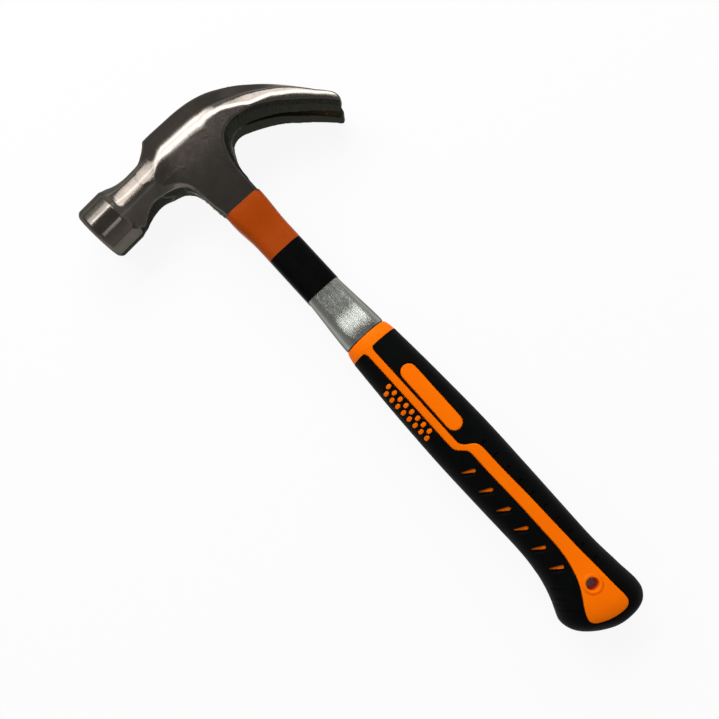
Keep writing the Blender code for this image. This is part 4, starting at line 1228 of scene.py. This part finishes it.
def buildCore():
    # Body round the tang, collar with a rounded front edge, and the patches that show in the windows.
    inset = grip["coverWall"] + 0.15
    rows = gripRows[(gripRows[:, 0] > 2.4) & (gripRows[:, 0] < grip["coverEnd"] - 0.5)][::2]
    body = ovalRings(rows, inset, 72)
    rear, front = grip["coverEnd"], grip["collarEnd"]
    collar = []
    for x, sink in ((rear - 0.1, inset), (rear, 0.15), (rear + 0.05, 0.15), (rear + 2.0, 0.25),
                    (rear + 4.0, 0.5), (front - 1.2, 0.85), (front - 0.55, 1.1), (front - 0.15, 1.6),
                    (front, 2.3)):
        collar.append(ovalRings([(x, *skinSizes(x))], sink, 144)[0])
    wide, thick, corner = np.array(tube["tang"]) + [0.2, 0.2, 0.1]
    tang = roundedRings([(x, -wide, wide, thick, corner) for x in (front - 4, front + 1)])
    ring = cutAway(meshOf("collar", [solidOf(np.array(collar))]), meshOf("tang", [solidOf(tang)]))
    hole = grip["holeMiddle"]
    turn = np.linspace(0, 2 * np.pi, 72, endpoint=False)
    reach = grip["eyeletRadius"] + 0.08
    circle = np.column_stack([hole[0] + reach * np.cos(turn), hole[1] + reach * np.sin(turn)])
    drill = np.array([np.column_stack([circle, np.full(72, z)]) for z in (-20.0, 20.0)])
    loops = inlayLoops()
    stripes = cutAway(meshOf("stripes", [raisedPatch(*loops[0], side) for side in (1, -1)]),
                      meshOf("drill", [solidOf(drill)]))
    inner = cutAway(meshOf("body", [solidOf(body)]), meshOf("drill", [solidOf(drill)]))
    patches = meshOf("patches", [raisedPatch(*loop, side) for loop in loops[1:] for side in (1, -1)])
    addPiece("grip_inlays", joined("grip_inlays", [stripes, patches]), orangePlastic,
             ["grip_core"], 38)
    addPiece("grip_body", joined("grip_body", [inner, ring]), orangePlastic,
             ["grip_core"], 38)


def buildEyelet():
    # A lathed bush: a bead round the hole, a shallow valley and a thin outer rim on both sides.
    half = float(skinHeight(*np.array(grip["holeMiddle"])))
    bore, rim = grip["holeRadius"], grip["eyeletRadius"]
    profile = [(bore, half - 2.0), (bore, half - 0.5), (bore + 0.1, half - 0.25), (bore + 0.3, half - 0.08),
               (bore + 0.6, half), (bore + 1.1, half), (bore + 1.4, half - 0.06), (bore + 1.6, half - 0.2),
               (bore + 1.78, half - 0.3), (rim - 0.04, half - 0.34), (rim, half - 0.6), (rim, half - 2.0)]
    profile = np.array(profile + [(r, -z) for r, z in profile[::-1]])
    turn = np.linspace(0, 2 * np.pi, 96, endpoint=False)
    x = grip["holeMiddle"][0] + profile[:, :1] * np.cos(turn)
    y = grip["holeMiddle"][1] + profile[:, :1] * np.sin(turn)
    rings = np.stack([x, y, profile[:, 1:] + 0 * x], -1)
    return addPiece("hole_bush", meshOf("hole_bush", [solidOf(rings, True)]), orangePlastic,
                    ["hang_eyelet"], 30)


buildCover()
buildCore()
buildEyelet()

studio = {
    "floorSize": 3, "floorColour": (0.86, 0.86, 0.86),
    "floorGlow": 0.91,           # share of plain white that the camera and reflections see in the floor
    "worldLow": 0.55,            # the room near the horizon
    "worldHigh": 0.22,           # and overhead
    # name, direction, distance, width, height, strength, roll
    "lamps": (("edge", (-0.41, 0.04, 0.911), 1.5, 0.20, 0.34, 1.5, 0.0),
              ("key", (0.722, -0.210, 0.660), 1.5, 1.9, 0.76, 5.9, math.radians(14))),
}


def buildFloor():
    # Pale paper under the lamps, and close to plain white to the camera and in reflections.
    reach = studio["floorSize"]
    mesh = bpy.data.meshes.new("studio_floor")
    mesh.from_pydata([(-reach, -reach, 0), (reach, -reach, 0), (reach, reach, 0), (-reach, reach, 0)],
                     [], [(0, 1, 2, 3)])
    floor = linkMesh("studio_floor", mesh)
    material = bpy.data.materials.new("pale_paper")
    material.use_nodes = True
    tree = material.node_tree
    shader = tree.nodes["Principled BSDF"]
    shader.inputs["Base Color"].default_value = (*studio["floorColour"], 1)
    shader.inputs["Roughness"].default_value = 0.9
    shader.inputs["Specular IOR Level"].default_value = 0.1
    path = put(tree, "ShaderNodeLightPath").outputs
    seen = maths(tree, "MAXIMUM", path["Is Camera Ray"], path["Is Glossy Ray"])
    seen = maths(tree, "MAXIMUM", seen, path["Is Transmission Ray"])
    glow = put(tree, "ShaderNodeEmission").outputs[0]
    mix = put(tree, "ShaderNodeMixShader", {
        "Fac": maths(tree, "MULTIPLY", seen, studio["floorGlow"]), 1: shader.outputs[0], 2: glow})
    tree.links.new(mix.outputs[0], tree.nodes["Material Output"].inputs["Surface"])
    mesh.materials.append(material)


def buildWorld():
    # A grey room, darker overhead: a ramp over the height of the view direction.
    world = bpy.data.worlds.new("studio")
    world.use_nodes = True
    tree = world.node_tree
    way = put(tree, "ShaderNodeTexCoord").outputs["Generated"]
    height = put(tree, "ShaderNodeSeparateXYZ", {0: way}).outputs["Z"]
    background = tree.nodes["Background"]
    tree.links.new(ramp(tree, height, 0.0, 0.9, studio["worldLow"], studio["worldHigh"]),
                   background.inputs["Strength"])
    background.inputs["Color"].default_value = (1, 1, 1, 1)
    bpy.context.scene.world = world


buildFloor()
buildWorld()

viewPoint = {
    "place": (-0.03756, 0.02004, 0.47454), "lens": 46.31433, "sensor": 36,
    "right": (-0.671261, -0.738986, -0.057519), "up": (0.733961, -0.673516, 0.087623),
    "back": (-0.103492, 0.016601, 0.994492),
}
camera = bpy.data.objects.new("camera", bpy.data.cameras.new("camera"))
camera.data.lens = viewPoint["lens"]
camera.data.sensor_width = viewPoint["sensor"]
camera.data.clip_start = 0.01
turn = Matrix((viewPoint["right"], viewPoint["up"], viewPoint["back"])).transposed()
camera.matrix_world = Matrix.Translation(viewPoint["place"]) @ turn.to_4x4()
bpy.context.scene.collection.objects.link(camera)
bpy.context.scene.camera = camera

bpy.context.scene.view_settings.view_transform = "Standard"


def addLamp(name, direction, distance, width, height, strength, roll):
    # A rectangular soft box that faces the hammer from a direction, rolled about it.
    lamp = bpy.data.lights.new(name, "AREA")
    lamp.shape = "RECTANGLE"
    lamp.size, lamp.size_y = width, height
    lamp.energy = strength * width * height * math.pi
    thing = bpy.data.objects.new(name, lamp)
    way = np.array(direction, float)
    way /= np.linalg.norm(way)
    side = np.cross((0, 0, 1), way)
    side /= np.linalg.norm(side)
    top = np.cross(way, side)
    side, top = (side * math.cos(roll) + top * math.sin(roll), top * math.cos(roll) - side * math.sin(roll))
    thing.matrix_world = Matrix((*np.column_stack([side, top, way, way * distance]).tolist(), (0, 0, 0, 1)))
    bpy.context.scene.collection.objects.link(thing)
    print(name, "lamp set")


for lamp in studio["lamps"]:
    addLamp(*lamp)
